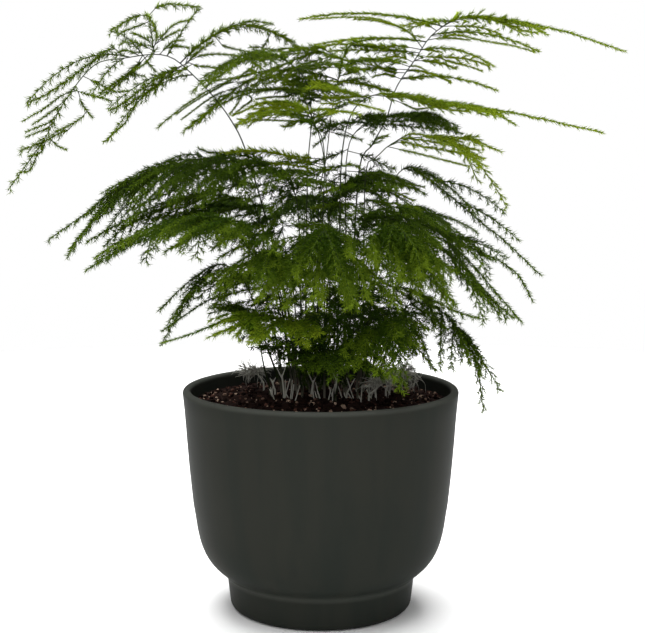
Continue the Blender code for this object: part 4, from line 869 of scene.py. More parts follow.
class Graph:
    """The nodes of a material or a world, with one method that adds any of them."""

    def __init__(self, owner, surface="Principled BSDF"):
        owner.use_nodes = True
        self.owner = owner
        self.tree = owner.node_tree
        self.surface = self.tree.nodes[surface]

    def node(self, kind, settings=None, values=(), output=0):
        """Adds a node, with its settings first, then its inputs by place or by name."""
        made = self.tree.nodes.new(kind)
        for name, value in (settings or {}).items():
            if name == "stops":
                set_stops(made.color_ramp, value)
            else:
                setattr(made, name, value)
        pairs = values.items() if isinstance(values, dict) else enumerate(values)
        for key, value in pairs:
            self.feed(made.inputs[key], value)
        return Wire(self, made.outputs[output])

    def feed(self, socket, value):
        """Links a wire to a socket, or sets the socket; a colour gets its alpha here."""
        if isinstance(value, Wire):
            self.tree.links.new(value.socket, socket)
        elif socket.type == "RGBA":
            socket.default_value = (*value, 1.0)
        else:
            socket.default_value = value

    def mix(self, factor, first, second):
        """Blends two colours."""
        return self.node("ShaderNodeMix", {"data_type": "RGBA"},
                         {0: factor, 6: first, 7: second}, output=2)

    def place(self, stretch=(1, 1, 1)):
        """Object coordinates, stretched."""
        where = self.node("ShaderNodeTexCoord", output=3)
        return self.node("ShaderNodeMapping", None, {"Vector": where, "Scale": stretch})

    def noise(self, stretch, detail=3.0, roughness=0.5):
        """Noise that is finer along an axis with a larger stretch."""
        return self.node("ShaderNodeTexNoise", None, {
            "Vector": self.place(stretch), "Scale": 1.0, "Detail": detail,
            "Roughness": roughness})

    def bump(self, strength, distance, height):
        """A normal roughened by a height."""
        return self.node("ShaderNodeBump", None, {
            "Strength": strength, "Distance": distance, "Height": height})

    def parts(self, vector):
        """The three numbers of a vector."""
        outputs = self.node("ShaderNodeSeparateXYZ", None, (vector,)).socket.node.outputs
        return [Wire(self, output) for output in outputs]

    def across(self):
        """The two numbers of the piece's own map: age across it, place along it."""
        return self.parts(self.node("ShaderNodeUVMap", {"uv_map": UV_NAME}))[:2]

    def finish(self, **values):
        """Sets the surface's sockets, given with _ for a space, and returns what it dresses."""
        for name, value in values.items():
            self.feed(self.surface.inputs[name.replace("_", " ")], value)
        return self.owner


def set_stops(ramp, stops):
    """Colour stops of a ramp, as (place, colour)."""
    while len(ramp.elements) < len(stops):
        ramp.elements.new(1.0)
    for element, (place, shade) in zip(ramp.elements, stops):
        element.position = place
        element.color = (*shade, 1.0)


def blended(first, second, share, other):
    """A colour made of shares of two others."""
    return tuple(share * a + other * b for a, b in zip(first, second))


def dimmed(shade, share):
    """A colour at a share of its strength."""
    return tuple(c * share for c in shade)


def glaze_material(settings):
    """Satin dark glaze: faint upright streaks, and a painted highlight over the lip and the foot's
    edge.
    """
    graph = Graph(bpy.data.materials.new("pot_glaze"))
    height = graph.parts(graph.place())[2]
    streaks = graph.noise((60, 60, 5), 4.0, 0.55)
    clouds = graph.noise((9, 9, 9))
    specks = graph.noise((1500, 1500, 1500), 2.0)
    cool = streaks.rises(0.42, 0.62) * 0.6 + clouds.rises(0.45, 0.60) * 0.4
    glaze = graph.mix(cool, settings.glaze, settings.glaze_cool)
    # Painted highlight: a paler, streaky glaze band on the lip's top (lip) and a fainter one over
    # the foot's ledge, mixed in as thin.
    lip = height.rises(*((POT_HEIGHT - depth) * MM for depth in LIP_HIGHLIGHT))
    ledge = 1 - (height - FOOT_TOP[1] * MM) / (LEDGE_HIGHLIGHT_ABOVE * MM)
    ledge_highlight = ledge.rises(0.0, 1.0) * height.rises(*(level * MM for level in LEDGE_HIGHLIGHT))
    thin = lip * (0.55 + streaks * 0.5) + ledge_highlight * 0.35
    glaze = graph.mix(thin * 0.75, glaze, settings.glaze_highlight)
    rough = settings.roughness + (clouds - 0.5) * 0.10 + (specks - 0.5) * 0.10
    bump = graph.bump(0.10, 0.0002, specks * 0.4 + streaks * 0.6)
    return graph.finish(Base_Color=glaze, Roughness=rough, Normal=bump, Specular_IOR_Level=0.02)


def soil_material(settings):
    """Each crumb has its age on the map: dark earth, bark, or pale grit."""
    graph = Graph(bpy.data.materials.new("soil_earth"))
    age, along = graph.across()
    warm = blended(settings.earth, settings.bark, 2.6, 0.12)
    stops = [(0.0, settings.earth), (0.45, warm), (0.72, settings.bark), (0.93, settings.grit)]
    crumb = graph.node("ShaderNodeValToRGB", {"stops": stops}, (age,))
    crumb = graph.mix(0.55 * (1 - along), crumb, settings.earth)
    bump = graph.bump(0.5, 0.0003, graph.noise((2200, 2200, 2200), 2.0))
    return graph.finish(Base_Color=crumb, Roughness=0.95, Normal=bump, Specular_IOR_Level=0.04)


def leaf_material(name, old, new, settings):
    """Needles by age across the map and from root to tip along it, with painted shade at their
    roots; stems in its last band.
    """
    graph = Graph(bpy.data.materials.new(name))
    age, along = graph.across()
    leaf = graph.mix(age / STEM_BAND, old, new)
    # Painted shade: each needle darkens towards its root, inside the twig's tuft.
    leaf = graph.mix(0.45 * (1 - along), leaf, dimmed(old, 0.4))
    skin = graph.mix(along.rises(0.02, 0.16), settings.stem_pale, settings.stem_green)
    skin = graph.mix(along.rises(0.55, 1.0) * 0.7, skin, dimmed(old, 0.8))
    growth = graph.mix(age.rises(STEM_BAND - 0.01, STEM_BAND), leaf, skin)
    return graph.finish(Base_Color=growth, Roughness=0.7, Specular_IOR_Level=0.03)


def dry_material(settings):
    """Bleached fibres, darker on the twigs."""
    graph = Graph(bpy.data.materials.new("dry_growth"))
    age = graph.across()[0]
    fibre = graph.mix(age, settings.shade, settings.grey)
    bump = graph.bump(0.4, 0.0002, graph.noise((900, 900, 120)))
    return graph.finish(Base_Color=fibre, Roughness=0.9, Normal=bump, Specular_IOR_Level=0.05)


def bezier(start, bends, end, count):
    """Points along a cubic curve, without its start."""
    points = []
    for i in range(1, count + 1):
        t = i / count
        weights = ((1 - t) ** 3, 3 * t * (1 - t) ** 2, 3 * t * t * (1 - t), t ** 3)
        points.append(tuple(
            sum(w * p[axis] for w, p in zip(weights, (start, *bends, end))) for axis in (0, 1)
        ))
    return points


def arc(centre, radius, first, last, count):
    """Points along an arc, both ends included; angles in degrees from +X."""
    angles = [math.radians(first + (last - first) * i / count) for i in range(count + 1)]
    return [
        (centre[0] + radius * math.cos(a), centre[1] + radius * math.sin(a)) for a in angles
    ]


def spun(profile, steps):
    """A closed solid of revolution, as a bmesh, from a profile that starts and ends on the axis."""
    bm = bmesh.new()
    verts = [bm.verts.new((x * MM, 0, z * MM)) for x, z in profile]
    edges = [bm.edges.new(pair) for pair in zip(verts, verts[1:])]
    bmesh.ops.spin(bm, geom=verts + edges, cent=(0, 0, 0), axis=UP,
                   angle=math.tau, steps=steps, use_merge=True)
    bmesh.ops.remove_doubles(bm, verts=bm.verts[:], dist=1e-6)
    bmesh.ops.recalc_face_normals(bm, faces=bm.faces[:])
    return bm


def put(name, mesh, surface, nodes):
    """Adds a finished piece: it rides with the part and stands for the given nodes."""
    piece = bpy.data.objects.new(name, mesh)
    bpy.context.scene.collection.objects.link(piece)
    mesh.materials.append(surface)
    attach(piece, "root")
    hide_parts(*nodes)


class Bundle:
    """Gathers many small closed shapes and joins them in one mesh with its own map."""

    def __init__(self):
        self.corners = []
        self.faces = []
        self.places = []
        self.count = 0

    def add(self, corners, faces, places):
        """One mesh: its corners, its triangles, and each corner's (age, along)."""
        self.corners.append(corners)
        self.faces.append(faces + self.count)
        self.places.append(places)
        self.count += len(corners)

    def scatter(self, shape, origins, axes, ages, along=(0.0, 1.0)):
        """Copies a shape; axes holds each copy's three directions with their lengths in them."""
        corners, faces = shape
        count = len(corners)
        placed = origins[:, None] + np.einsum("cj,njk->nck", corners, axes)
        spread = MAP_SPREAD * np.array([-1.0, 1.0, 0.0, 0.0] + [0.5] * (count - 4))
        across = ages[:, None] + spread[None]
        reach = (corners[:, 2] - corners[:, 2].min()) / np.ptp(corners[:, 2])
        low, high = along
        up = np.broadcast_to(low + (high - low) * reach, across.shape)
        index = faces[None] + count * np.arange(len(origins))[:, None, None]
        self.add(placed.reshape(-1, 3), index.reshape(-1, 3),
                 np.stack([across, up], 2).reshape(-1, 2))

    def mesh(self, name):
        """The joined mesh, in metres."""
        corners = np.vstack(self.corners) * MM
        faces = np.vstack(self.faces)
        places = np.vstack(self.places)
        mesh = bpy.data.meshes.new(name)
        mesh.vertices.add(len(corners))
        mesh.vertices.foreach_set("co", corners.ravel())
        mesh.loops.add(faces.size)
        mesh.loops.foreach_set("vertex_index", faces.ravel())
        mesh.polygons.add(len(faces))
        mesh.polygons.foreach_set("loop_start", np.arange(0, faces.size, 3))
        layer = mesh.uv_layers.new(name=UV_NAME)
        layer.data.foreach_set("uv", np.clip(places[faces.ravel()], 0.0, 1.0).ravel())
        mesh.update(calc_edges=True)
        mesh.validate()
        return mesh


def arrays(bm):
    """Corners and triangles of a bmesh as arrays."""
    bmesh.ops.triangulate(bm, faces=bm.faces[:])
    bm.verts.index_update()
    corners = np.array([v.co[:] for v in bm.verts])
    faces = np.array([[v.index for v in f.verts] for f in bm.faces])
    bm.free()
    return corners, faces


def needle_shape():
    """A closed three-sided spike of radius 1 and length 1 along Z, its root at the origin."""
    bm = bmesh.new()
    bmesh.ops.create_cone(bm, cap_ends=True, segments=3, radius1=1, radius2=0, depth=1,
                          matrix=Matrix.Translation((0, 0, 0.5)))
    bmesh.ops.recalc_face_normals(bm, faces=bm.faces[:])
    return arrays(bm)


def crumb_shape(draw):
    """A lumpy grain of radius about 1."""
    bm = bmesh.new()
    bmesh.ops.create_icosphere(bm, subdivisions=1, radius=1.0)
    for vert in bm.verts:
        vert.co *= draw.uniform(0.65, 1.25)
    return arrays(bm)


def unit(vectors):
    """The same directions at length 1."""
    return vectors / np.linalg.norm(vectors, axis=-1, keepdims=True)


def travelled(line):
    """How far along a line each of its points lies."""
    return np.r_[0, np.cumsum(np.linalg.norm(np.diff(line, axis=0), axis=1))]


def sampled(values, lengths, marks):
    """Rows of three numbers, given at lengths along a line and wanted at marks."""
    return np.stack([np.interp(marks, lengths, values[:, axis]) for axis in range(3)], 1)


def even_points(line, step=LINE_STEP):
    """Evenly spaced points along a polyline."""
    lengths = travelled(line)
    count = max(3, round(lengths[-1] / step) + 1)
    return sampled(line, lengths, np.linspace(0, lengths[-1], count))


def smooth_line(points):
    """A line with a point each millimetre on the smooth curve through the given points."""
    given = np.array(points, float)
    padded = np.vstack([2 * given[0] - given[1], given, 2 * given[-1] - given[-2]])
    line = []
    for a, b, c, d in zip(padded[:-3], padded[1:-2], padded[2:-1], padded[3:]):
        for t in np.linspace(0, 1, CURVE_STEPS, endpoint=False):
            line.append(0.5 * (2 * b + (c - a) * t + (2 * a - 5 * b + 4 * c - d) * t ** 2
                               + (3 * b - a - 3 * c + d) * t ** 3))
    return even_points(np.array(line + [given[-1]]))


def arched(root, tip, arch):
    """A line with a point each millimetre, arched up between its ends."""
    t = np.linspace(0, 1, ARCH_STEPS)[:, None]
    line = root + (np.array(tip) - root) * t
    line[:, 2:] += 4 * arch * t * (1 - t)
    return even_points(line)


def sighted(near, far, marks):
    """Points drawn on the front view, set along their sight lines from one depth to another."""
    sheet = (np.array(marks, float) - VIEW_MIDDLE) / VIEW_FOCUS
    cosine, sine = math.cos(EYE_PITCH), math.sin(EYE_PITCH)
    sight = np.stack([sheet[:, 0], cosine - sine * sheet[:, 1], -sine - cosine * sheet[:, 1]], 1)
    depth = np.linspace(near, far, len(sheet)) - EYE[1]
    return np.array(EYE) + sight * (depth / sight[:, 1])[:, None]


def directions(line, roll=0):
    """Forward, upward and sideways along a line, rolled about it by degrees."""
    forward = unit(np.gradient(line, axis=0))
    upward = np.zeros_like(line)
    last = np.array(UP)
    for i in reversed(range(len(line))):
        last = unit(last - forward[i] * (last @ forward[i]))
        upward[i] = last
    sideways = np.cross(upward, forward)
    turn = math.radians(roll)
    rolled = math.cos(turn) * upward + math.sin(turn) * sideways
    return forward, rolled, math.cos(turn) * sideways - math.sin(turn) * upward


def around(forward):
    """Two directions square to the given ones."""
    helper = np.where(np.abs(forward[:, 2:]) < 0.9, UP, (1.0, 0.0, 0.0))
    first = unit(np.cross(forward, helper))
    return first, np.cross(forward, first)


def twig_length(share, longest):
    """Side twigs are short at both ends of a branch and longest near its root."""
    opening = min(1.0, 0.45 + 3.5 * share)
    return TWIG_SHORTEST + (longest - TWIG_SHORTEST) * opening * (1 - share) ** 0.75


class Grower:
    """Grows the fine parts of one frond or dry tuft into a bundle."""

    def __init__(self, fern, droop, draw, hold="dry"):
        self.gap, self.lean = HOLD[hold]
        self.droop = droop
        self.draw = draw
        self.random = np.random.default_rng(draw.randrange(10 ** 6))
        self.needle = fern.needle / MM
        self.needle_radius = fern.needle_radius / MM
        self.whorl_step = fern.whorl_step / MM
        self.whorl_needles = fern.whorl_needles
        self.twig_step = fern.twig_step / MM
        self.bundle = Bundle()
        self.spike = needle_shape()

    def spikes(self, roots, tips, widths, ages):
        """Spikes from roots to tips."""
        lengthwise = tips - roots
        first, second = around(unit(lengthwise))
        axes = np.stack([first * widths[:, None], second * widths[:, None], lengthwise], 1)
        self.bundle.scatter(self.spike, roots, axes, ages)

    def tube(self, line, kind, taper=1.0):
        """A tapering tube of a kind of wood, drawn out along a line."""
        thick, thin, sides, step, start = WOOD[kind]
        points = even_points(line, step)
        forward, upward, sideways = directions(points)
        count = len(points)
        sizes = thin + (thick - thin) * np.linspace(1, 0, count) ** taper

        def ring(k):
            turn = Matrix([list(r) for r in zip(sideways[k], upward[k], forward[k])]).to_4x4()
            return Matrix.Translation(points[k]) @ turn @ Matrix.Scale(sizes[k], 4)

        bm = bmesh.new()
        bmesh.ops.create_circle(bm, cap_ends=True, segments=sides, radius=1.0, matrix=ring(0))
        last = bm.faces[:][0]
        for k in range(1, count):
            drawn = bmesh.ops.extrude_face_region(bm, geom=[last])["geom"]
            if k > 1:
                bmesh.ops.delete(bm, geom=[last], context="FACES_ONLY")
            last = next(part for part in drawn if isinstance(part, bmesh.types.BMFace))
            bmesh.ops.transform(bm, matrix=ring(k) @ ring(k - 1).inverted(), verts=last.verts)
        bmesh.ops.recalc_face_normals(bm, faces=bm.faces[:])
        corners, faces = arrays(bm)
        rings = np.repeat(np.linspace(start, 1.0, count), sides)
        spread = np.tile(np.linspace(*WOOD_BAND, sides), count)
        self.bundle.add(corners, faces, np.stack([spread, rings], 1))

    def whorls(self, line, reach, age, young, spacing, needles,
               closing=NEEDLE_CLOSING):
        """Whorls of needles along a line, each turned against the last."""
        lengths = travelled(line)
        total = lengths[-1]
        marks = np.arange(FIRST_WHORL * spacing, total, spacing)
        if not len(marks):
            return
        points = sampled(line, lengths, marks)
        forward = unit(sampled(np.gradient(line, axis=0), lengths, marks))
        first, second = around(forward)
        count = len(marks) * needles
        rows = np.repeat(np.arange(len(marks)), needles)
        angle = rows * GOLDEN_ANGLE + np.tile(np.arange(needles) * math.tau / needles, len(marks))
        angle = angle + self.random.uniform(-NEEDLE_STRAY, NEEDLE_STRAY, count)
        lean = self.random.uniform(*self.lean, count)
        out = np.cos(angle)[:, None] * first[rows] + np.sin(angle)[:, None] * second[rows]
        heading = np.cos(lean)[:, None] * forward[rows] + np.sin(lean)[:, None] * out
        along = marks[rows] / total
        size = reach * self.random.uniform(*NEEDLE_SIZE, count) * (1 - closing * along)
        shift = self.random.uniform(-NEEDLE_STRAY, NEEDLE_STRAY, count)[:, None]
        roots = points[rows] + forward[rows] * shift * spacing
        ages = age + (young - age) * along + self.random.normal(0, NEEDLE_AGE_STRAY, count)
        self.spikes(roots, roots + heading * size[:, None], np.full(count, self.needle_radius),
                    np.clip(ages, *AGE_LIMITS))

    def twig(self, root, heading, onward, length, age):
        """One fine twig, bent a little forward and down, with its whorls."""
        share = np.linspace(0, 1, 4 if length > 7 else 3)[:, None]
        line = root + heading * length * share + onward * TWIG_BEND * length * share ** 2
        line[:, 2:] -= self.droop * length * (0.35 * share + 0.65 * share ** 2)
        step = np.diff(line, axis=0)
        widths = np.linspace(*TWIG_RADII, len(step))
        self.spikes(line[:-1], line[1:] + step * TWIG_JOINT, widths,
                    np.full(len(step), age * 0.8))
        self.whorls(line, self.needle, age, age, self.whorl_step, self.whorl_needles)

    def leafy(self, line, start, roll, longest, age, young):
        """Twigs to the left and right by turns along a line, with needles between them."""
        forward, upward, sideways = directions(line, roll)
        total = len(line) - 1
        first = start * total
        at = first + 1.0
        side = self.draw.choice((-1, 1))
        while at < total:
            k = int(at)
            share = (at - first) / (total - first)
            reach = twig_length(share, longest) * self.draw.uniform(*TWIG_REACH)
            sweep = TWIG_SWEEP + self.draw.uniform(-SWEEP_STRAY, SWEEP_STRAY)
            heading = unit(math.cos(sweep) * forward[k] + math.sin(sweep) * side * sideways[k]
                           + self.draw.uniform(-LIFT_STRAY, LIFT_STRAY) * upward[k])
            tone = age + (young - age) * share ** TIP_GROWTH
            tone += self.draw.uniform(-TWIG_AGE_STRAY, TWIG_AGE_STRAY)
            self.twig(line[k], heading, forward[k], reach, tone)
            side = -side
            at += self.twig_step * self.draw.uniform(*TWIG_GAP)
        part = line[int(first):]
        if len(part) > 3:
            self.whorls(part, self.needle, age, young, self.gap, BRANCH_NEEDLES)

    def plume(self, line, roll, longest, age, young):
        """A narrow plume: short twigs among dense whorls, or dense whorls alone."""
        bare = min(6, (len(line) - 1) // 5)
        part = line[bare:]
        if longest > FINE_TWIG:
            self.leafy(part, 0.0, roll, longest + 1.0, age, young)
            share, whorl = 0.85, CLOSE_PLUME
        else:
            share, whorl = 0.45 + longest / 7, FINE_PLUME
        self.whorls(part, self.needle * share, age, young, *whorl, PLUME_CLOSING)


def fuller(stem, branches, copies, spread, draw):
    """The given branches, then lesser ones in the gaps between them and the stem's own tip."""
    last = len(stem) - 1
    result = [(share, np.array(tip, float), arch) for share, tip, arch in branches]
    ends = result + [(0.93, stem[-1], 1)]
    for number in range(copies * len(branches)):
        first = ends[number % len(branches)]
        second = draw.choice([end for end in ends if end is not first])
        part = draw.uniform(*BETWEEN)
        share, tip, arch = (a + (b - a) * part for a, b in zip(first, second))
        lowest, highest = LEAVES_STEM
        share = min(max(share + draw.uniform(-0.03, 0.03), lowest), highest)
        root = stem[round(share * last)]
        reach = (tip - root) * draw.uniform(*LESSER_REACH)
        stray = [draw.uniform(-most, most) for most in (SIDE_STRAY, SIDE_STRAY, spread)]
        result.append((share, root + reach + np.array(stray), arch))
    return result


def low_shoots(stem, count, draw):
    """Short shoots round the lower stem, as place along it, tip and arch."""
    last = len(stem) - 1
    start, stretch = SHOOT_STRETCH
    result = []
    for _ in range(count):
        share = start + stretch * draw.random() ** 1.5
        root = stem[round(share * last)]
        if root[2] < STEM_FREE + SHOOT_CLEAR:
            continue
        turn = draw.uniform(0, math.tau)
        reach = draw.uniform(*SHOOT_REACH)
        tip = root + np.array([reach * math.cos(turn), reach * math.sin(turn), draw.uniform(-2, 8)])
        result.append((share, tip, 2.0))
    return result


def stem_lines(points):
    """A stem's line above the soil, and the same with its end in the soil."""
    (x, y), *rest = points
    free = smooth_line([(x, y, STEM_FREE), *rest])
    return free, np.vstack([[(x, y, STEM_END)], free])


def grow_frond(name, spec, fern, number):
    """One frond: stem, branches, the lesser branches between them, twigs and needles."""
    tone, roll, bare, (copies, spread, droop, longest, low), points, branches = spec
    age, young = TONES[name if name in TONES else tone]
    draw = random.Random(FROND_SEED + number)
    grower = Grower(fern, droop, draw, name if name in HOLD else tone)
    stem = even_points(stem_lines(points)[1])
    last = len(stem) - 1
    grower.tube(stem, "stem", STEM_TAPER)
    grower.leafy(stem, bare, roll, longest, age, young)
    wood = stem[int(0.3 * last):]
    for share, tip, arch in fuller(stem, branches, copies, spread, draw):
        line = arched(stem[round(share * last)], tip, arch)
        wood = np.vstack([wood, line])
        grower.tube(line, "branch")
        reach = min(longest, 4.0 + 0.14 * len(line))
        grower.leafy(line, 0.04, roll + draw.uniform(-15, 15), reach, age, young)
    for near, far, twig, change, *marks in PLUMES.get(name, ()):
        places = sighted(near, far, marks)
        root = wood[np.linalg.norm(wood - places[0], axis=1).argmin()]
        line = smooth_line([root, *places[1:]])
        wood = np.vstack([wood, line])
        grower.tube(line, "plume")
        turn = draw.choice((-1, 1)) * draw.uniform(*PLUME_ROLL)
        grower.plume(line, turn, twig, age + change, young + change)
    for share, tip, arch in low_shoots(stem, low, draw):
        line = arched(stem[round(share * last)], tip, arch)
        # Painted shade: the short shoots low on the stem get darker ages.
        grower.leafy(line, 0.1, draw.uniform(-40, 40), SHOOT_TWIG, age * 0.4, age)
    return grower.bundle


def grow_dry_spray(spec, fern, number):
    """A withered tuft: a bent stem, curled wiry twigs and few bleached needles."""
    points, branches = spec
    draw = random.Random(SPRAY_SEED + number)
    grower = Grower(fern, 0.1, draw)
    stem, whole = stem_lines(points)
    grower.tube(whole, "spray")
    for share, tip, arch in fuller(stem, branches, 4, 3, draw):
        line = arched(stem[round(share * (len(stem) - 1))], tip, arch)
        grower.tube(line, "spray_branch")
        for _ in range(CURLS):
            grower.tube(curled(line[draw.randrange(len(line))], draw), "curl")
        if draw.random() < 0.7:
            grower.leafy(line, 0.3, draw.uniform(-60, 60), 4.5, 0.6, 0.95)
    return grower.bundle


def curled(root, draw):
    """A dry twig that winds away from its root, kept above the soil."""
    turn, rise = draw.uniform(0, math.tau), draw.uniform(-0.5, 0.9)
    bend, lift = draw.uniform(-0.7, 0.7), draw.uniform(-0.4, 0.3)
    points = [np.array(root, float)]
    for _ in range(draw.randrange(4, 7)):
        way = (math.cos(turn) * math.cos(rise), math.sin(turn) * math.cos(rise), math.sin(rise))
        points.append(points[-1] + np.array(way) * CURL_LINK)
        points[-1][2] = max(points[-1][2], STEM_FREE - 1)
        turn += bend + draw.uniform(-0.3, 0.3)
        rise += lift
    return smooth_line(points)


def grow_dry_stem(spec, fern, number):
    """Thin old stems cut short: a forked one, and a few straight ones by its foot."""
    (x, y), top = spec
    draw = random.Random(STUB_SEED + number)
    grower = Grower(fern, 0.1, draw)
    line = np.array([(x, y, STEM_END), (x, y, STEM_FREE), top], float)
    grower.tube(line, "stub")
    for lean in (draw.uniform(-0.7, -0.3), draw.uniform(0.3, 0.7)):
        way = np.array((lean, draw.uniform(-0.3, 0.3), 1.0)) * draw.uniform(3, 7)
        fork = line[1] + (line[2] - line[1]) * draw.uniform(0.5, 0.95)
        grower.tube(np.array([fork, fork + way * 0.5, fork + way]), "fork")
    for _ in range(DRY_STICKS):
        foot = line[0] + (draw.uniform(-8, 8), draw.uniform(-8, 4), 6)
        head = foot + (draw.uniform(-4, 4), draw.uniform(-3, 3), draw.uniform(6, 14))
        grower.tube(np.array([foot, (foot + head) / 2, head]), "stick")
    return grower.bundle


class FERN_OT_pot(bpy.types.Operator):
    """Turns the glazed pot with its rounded lip, its belly and its foot"""

    bl_idname = "fern.pot"
    bl_label = "Make Pot"

    def execute(self, context):
        settings = context.scene.fern_pot
        lip = (RIM_RADIUS - LIP_RADIUS, POT_HEIGHT - LIP_RADIUS)
        edge = (FOOT_RADIUS - FOOT_EDGE, FOOT_EDGE)
        profile = [
            *INSIDE, (RIM_RADIUS - WALL, lip[1] - WALL_TOP),
            *arc(lip, LIP_RADIUS, 180, 0, LIP_STEPS),
            *OUTSIDE, BELLY_TOP, *bezier(BELLY_TOP, BELLY_BEND, BELLY_END, BELLY_STEPS),
            FOOT_TOP, *arc(edge, FOOT_EDGE, 0, -90, FOOT_STEPS), (0, 0),
        ]
        bm = spun(profile, settings.turn_steps)
        mesh = bpy.data.meshes.new("pot_turned")
        bm.to_mesh(mesh)
        bm.free()
        mesh.shade_smooth()
        put("pot_turned", mesh, glaze_material(settings), ["pot"])
        return {"FINISHED"}


class FERN_OT_soil(bpy.types.Operator):
    """Makes the mound of soil and strews it with crumbs"""

    bl_idname = "fern.soil"
    bl_label = "Make Soil"

    def execute(self, context):
        settings = context.scene.fern_soil
        surface = [(r, SOIL_LEVEL) for r in np.linspace(0, SOIL_EDGE, SOIL_RINGS)]
        bm = spun(surface + SOIL_UNDER, SOIL_STEPS)
        for vert in bm.verts:
            x, y, z = (c / MM for c in vert.co)
            if z > SOIL_LEVEL - 1:
                vert.co.z = soil_height(x, y) * MM
        bmesh.ops.scale(bm, vec=(1 / MM,) * 3, verts=bm.verts[:])
        bundle = Bundle()
        corners, faces = arrays(bm)
        grain = [noise.noise(Vector(c) * 0.9) for c in corners]
        ages = np.clip(0.22 + 0.3 * np.array(grain), 0, 1)
        bundle.add(corners, faces, np.stack([ages, np.full(len(ages), 0.6)], 1))
        self.strew(bundle, settings, random.Random(SOIL_SEED))
        mesh = bundle.mesh("soil_crumbly")
        mesh.shade_smooth()
        put("soil_crumbly", mesh, soil_material(settings), ["soil"])
        return {"FINISHED"}

    def strew(self, bundle, settings, draw):
        """Crumbs of a few shapes, sunk a little into the mound."""
        size = settings.crumb_size / MM
        for _ in range(CRUMB_KINDS):
            shape = crumb_shape(draw)
            origins, axes, ages = [], [], []
            for _ in range(settings.crumbs // CRUMB_KINDS):
                radius = SOIL_EDGE * CRUMB_SPREAD * math.sqrt(draw.random())
                turn = draw.uniform(0, math.tau)
                x, y = radius * math.cos(turn), radius * math.sin(turn)
                grain = size * draw.choice(CRUMB_SIZES) * draw.uniform(0.8, 1.3)
                tumbled = Matrix.Rotation(draw.uniform(0, 6), 3, "X")
                tumbled = tumbled @ Matrix.Rotation(draw.uniform(0, 6), 3, "Z")
                flat = np.array((1.0, draw.uniform(0.5, 1.0), draw.uniform(0.35, 0.9)))
                origins.append((x, y, soil_height(x, y) + grain * CRUMB_RAISED))
                axes.append(np.array(tumbled) * flat[:, None] * grain)
                ages.append(min(0.97, draw.random() ** 2.2))
            bundle.scatter(shape, np.array(origins), np.array(axes), np.array(ages), (0.3, 1.0))


def soil_height(x, y):
    """Level of the mound, with the bumps of the solid and finer ones."""
    inward = max(0.0, 1 - math.hypot(x, y) / SOIL_SLOPE)
    bumps = math.sin(0.31 * x + 1.3) * math.cos(0.27 * y - 0.4) + math.sin(0.53 * x - 0.47 * y)
    fine = noise.noise(Vector((x, y, 0)) * 0.35) + 0.5 * noise.noise(Vector((x, y, 5)) * 0.9)
    return SOIL_LEVEL + SOIL_MOUND * inward + SOIL_BUMP * bumps * min(1.0, 4 * inward) + fine * 0.5


class FERN_OT_fronds(bpy.types.Operator):
    """Grows every frond from its stem's and branches' lines"""

    bl_idname = "fern.fronds"
    bl_label = "Grow Fronds"

    def execute(self, context):
        fern = context.scene.fern_fronds
        deep = (fern.deep_old, fern.deep_new)
        bright = (fern.bright_old, fern.bright_new)
        mid = [blended(*pair, 0.8, 0.2) for pair in zip(deep, bright)]
        looks = {"deep": deep, "mid": mid, "bright": bright, "young": bright}
        surfaces = {
            tone: leaf_material(f"leaf_{tone}", *look, fern) for tone, look in looks.items()
        }
        for number, (name, spec) in enumerate(FRONDS.items()):
            bundle = grow_frond(name, spec, fern, number)
            title = name.replace("frond", "leafy")
            put(title, bundle.mesh(title), surfaces[spec[0]], [name])
        return {"FINISHED"}


class FERN_OT_dry(bpy.types.Operator):
    """Grows the withered sprays and the stubs at the stems' feet"""

    bl_idname = "fern.dry"
    bl_label = "Grow Dry Growth"

    def execute(self, context):
        fern = context.scene.fern_fronds
        surface = dry_material(context.scene.fern_dry)
        for table, grow, word in (
            (DRY_SPRAYS, grow_dry_spray, ("spray", "tuft")),
            (DRY_STEMS, grow_dry_stem, ("stem", "stub")),
        ):
            for number, (name, spec) in enumerate(table.items()):
                title = name.replace(*word)
                bundle = grow(spec, fern, number)
                put(title, bundle.mesh(title), surface, [name])
        return {"FINISHED"}


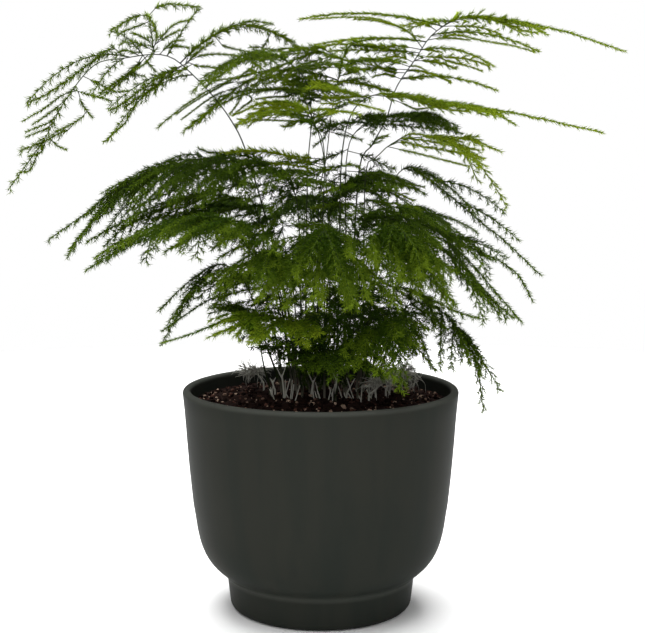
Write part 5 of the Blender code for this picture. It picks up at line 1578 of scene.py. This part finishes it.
class FERN_OT_stage(bpy.types.Operator):
    """Lays the floor, hangs the lights and sets the camera"""

    bl_idname = "fern.stage"
    bl_label = "Set Stage"

    def execute(self, context):
        studio = context.scene.fern_studio
        self.lay_floor(studio)
        self.light_sky(studio)
        for name, (place, target, size, power) in LAMPS.items():
            self.hang(name, place, target, size, getattr(studio, power))
        camera = bpy.data.cameras.new("camera")
        camera.sensor_fit = "HORIZONTAL"
        camera.lens = studio.lens
        camera.clip_end = 20.0
        holder = bpy.data.objects.new("camera", camera)
        holder.location = (EYE[0] * MM, -studio.distance, studio.height)
        holder.rotation_euler = (math.radians(90) - studio.pitch, 0, 0)
        context.scene.collection.objects.link(holder)
        context.scene.camera = holder
        context.scene.view_settings.view_transform = "Standard"
        return {"FINISHED"}

    def lay_floor(self, studio):
        """A plain round floor, which is no part of the object."""
        bm = bmesh.new()
        bmesh.ops.create_circle(bm, cap_ends=True, segments=96, radius=1.0)
        mesh = bpy.data.meshes.new("floor")
        bm.to_mesh(mesh)
        bm.free()
        floor = bpy.data.objects.new("floor", mesh)
        bpy.context.scene.collection.objects.link(floor)
        graph = Graph(bpy.data.materials.new("floor"))
        mesh.materials.append(graph.finish(Base_Color=studio.floor, Roughness=0.9))

    def light_sky(self, studio):
        """Light that grows towards the zenith, and plain white where the camera looks past."""
        graph = Graph(bpy.data.worlds.new("studio"), "Background")
        height = graph.parts(graph.node("ShaderNodeTexCoord"))[2]
        low, high = (studio.sky * share for share in SKY_SHARES)
        strength = graph.node("ShaderNodeMapRange", None, {
            "Value": height, "To Min": low, "To Max": high})
        bpy.context.scene.world = graph.finish(Color=WHITE, Strength=strength)
        sky = Wire(graph, graph.surface.outputs[0])
        white = graph.node("ShaderNodeBackground", None, {"Color": WHITE})
        looked_at = graph.node("ShaderNodeLightPath")
        either = graph.node("ShaderNodeMixShader", None, (looked_at, sky, white))
        graph.feed(graph.tree.nodes["World Output"].inputs["Surface"], either)

    def hang(self, name, place, target, size, power):
        """A square lamp that looks at its target."""
        lamp = bpy.data.lights.new(name, "AREA")
        lamp.size = size
        lamp.energy = power
        holder = bpy.data.objects.new(name, lamp)
        holder.location = place
        aim = Vector(target) - Vector(place)
        holder.rotation_euler = aim.to_track_quat("-Z", "Y").to_euler()
        bpy.context.scene.collection.objects.link(holder)


class FERN_PT_panel(bpy.types.Panel):
    """The plant's sizes and colours, and a button for each group of pieces"""

    bl_label = "Potted Asparagus Fern"
    bl_idname = "FERN_PT_panel"
    bl_space_type = "VIEW_3D"
    bl_region_type = "UI"
    bl_category = "Fern"

    def draw(self, context):
        for operator, (group, settings) in zip(OPERATORS, GROUPS.items()):
            box = self.layout.box()
            for name in settings.__annotations__:
                box.prop(getattr(context.scene, group), name)
            box.operator(operator.bl_idname)


OPERATORS = (FERN_OT_pot, FERN_OT_soil, FERN_OT_fronds, FERN_OT_dry, FERN_OT_stage)
GROUPS = {
    "fern_pot": PotSettings,
    "fern_soil": SoilSettings,
    "fern_fronds": FernSettings,
    "fern_dry": DrySettings,
    "fern_studio": StudioSettings,
}


def register():
    for made in (*GROUPS.values(), *OPERATORS, FERN_PT_panel):
        bpy.utils.register_class(made)
    for name, settings in GROUPS.items():
        setattr(bpy.types.Scene, name, PointerProperty(type=settings))


def unregister():
    for name in GROUPS:
        delattr(bpy.types.Scene, name)
    for made in (FERN_PT_panel, *reversed(OPERATORS), *GROUPS.values()):
        bpy.utils.unregister_class(made)


def main():
    """Sets the stage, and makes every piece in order."""
    register()
    for step in ("stage", "pot", "soil", "fronds", "dry"):
        getattr(bpy.ops.fern, step)()


if __name__ == "__main__":
    main()
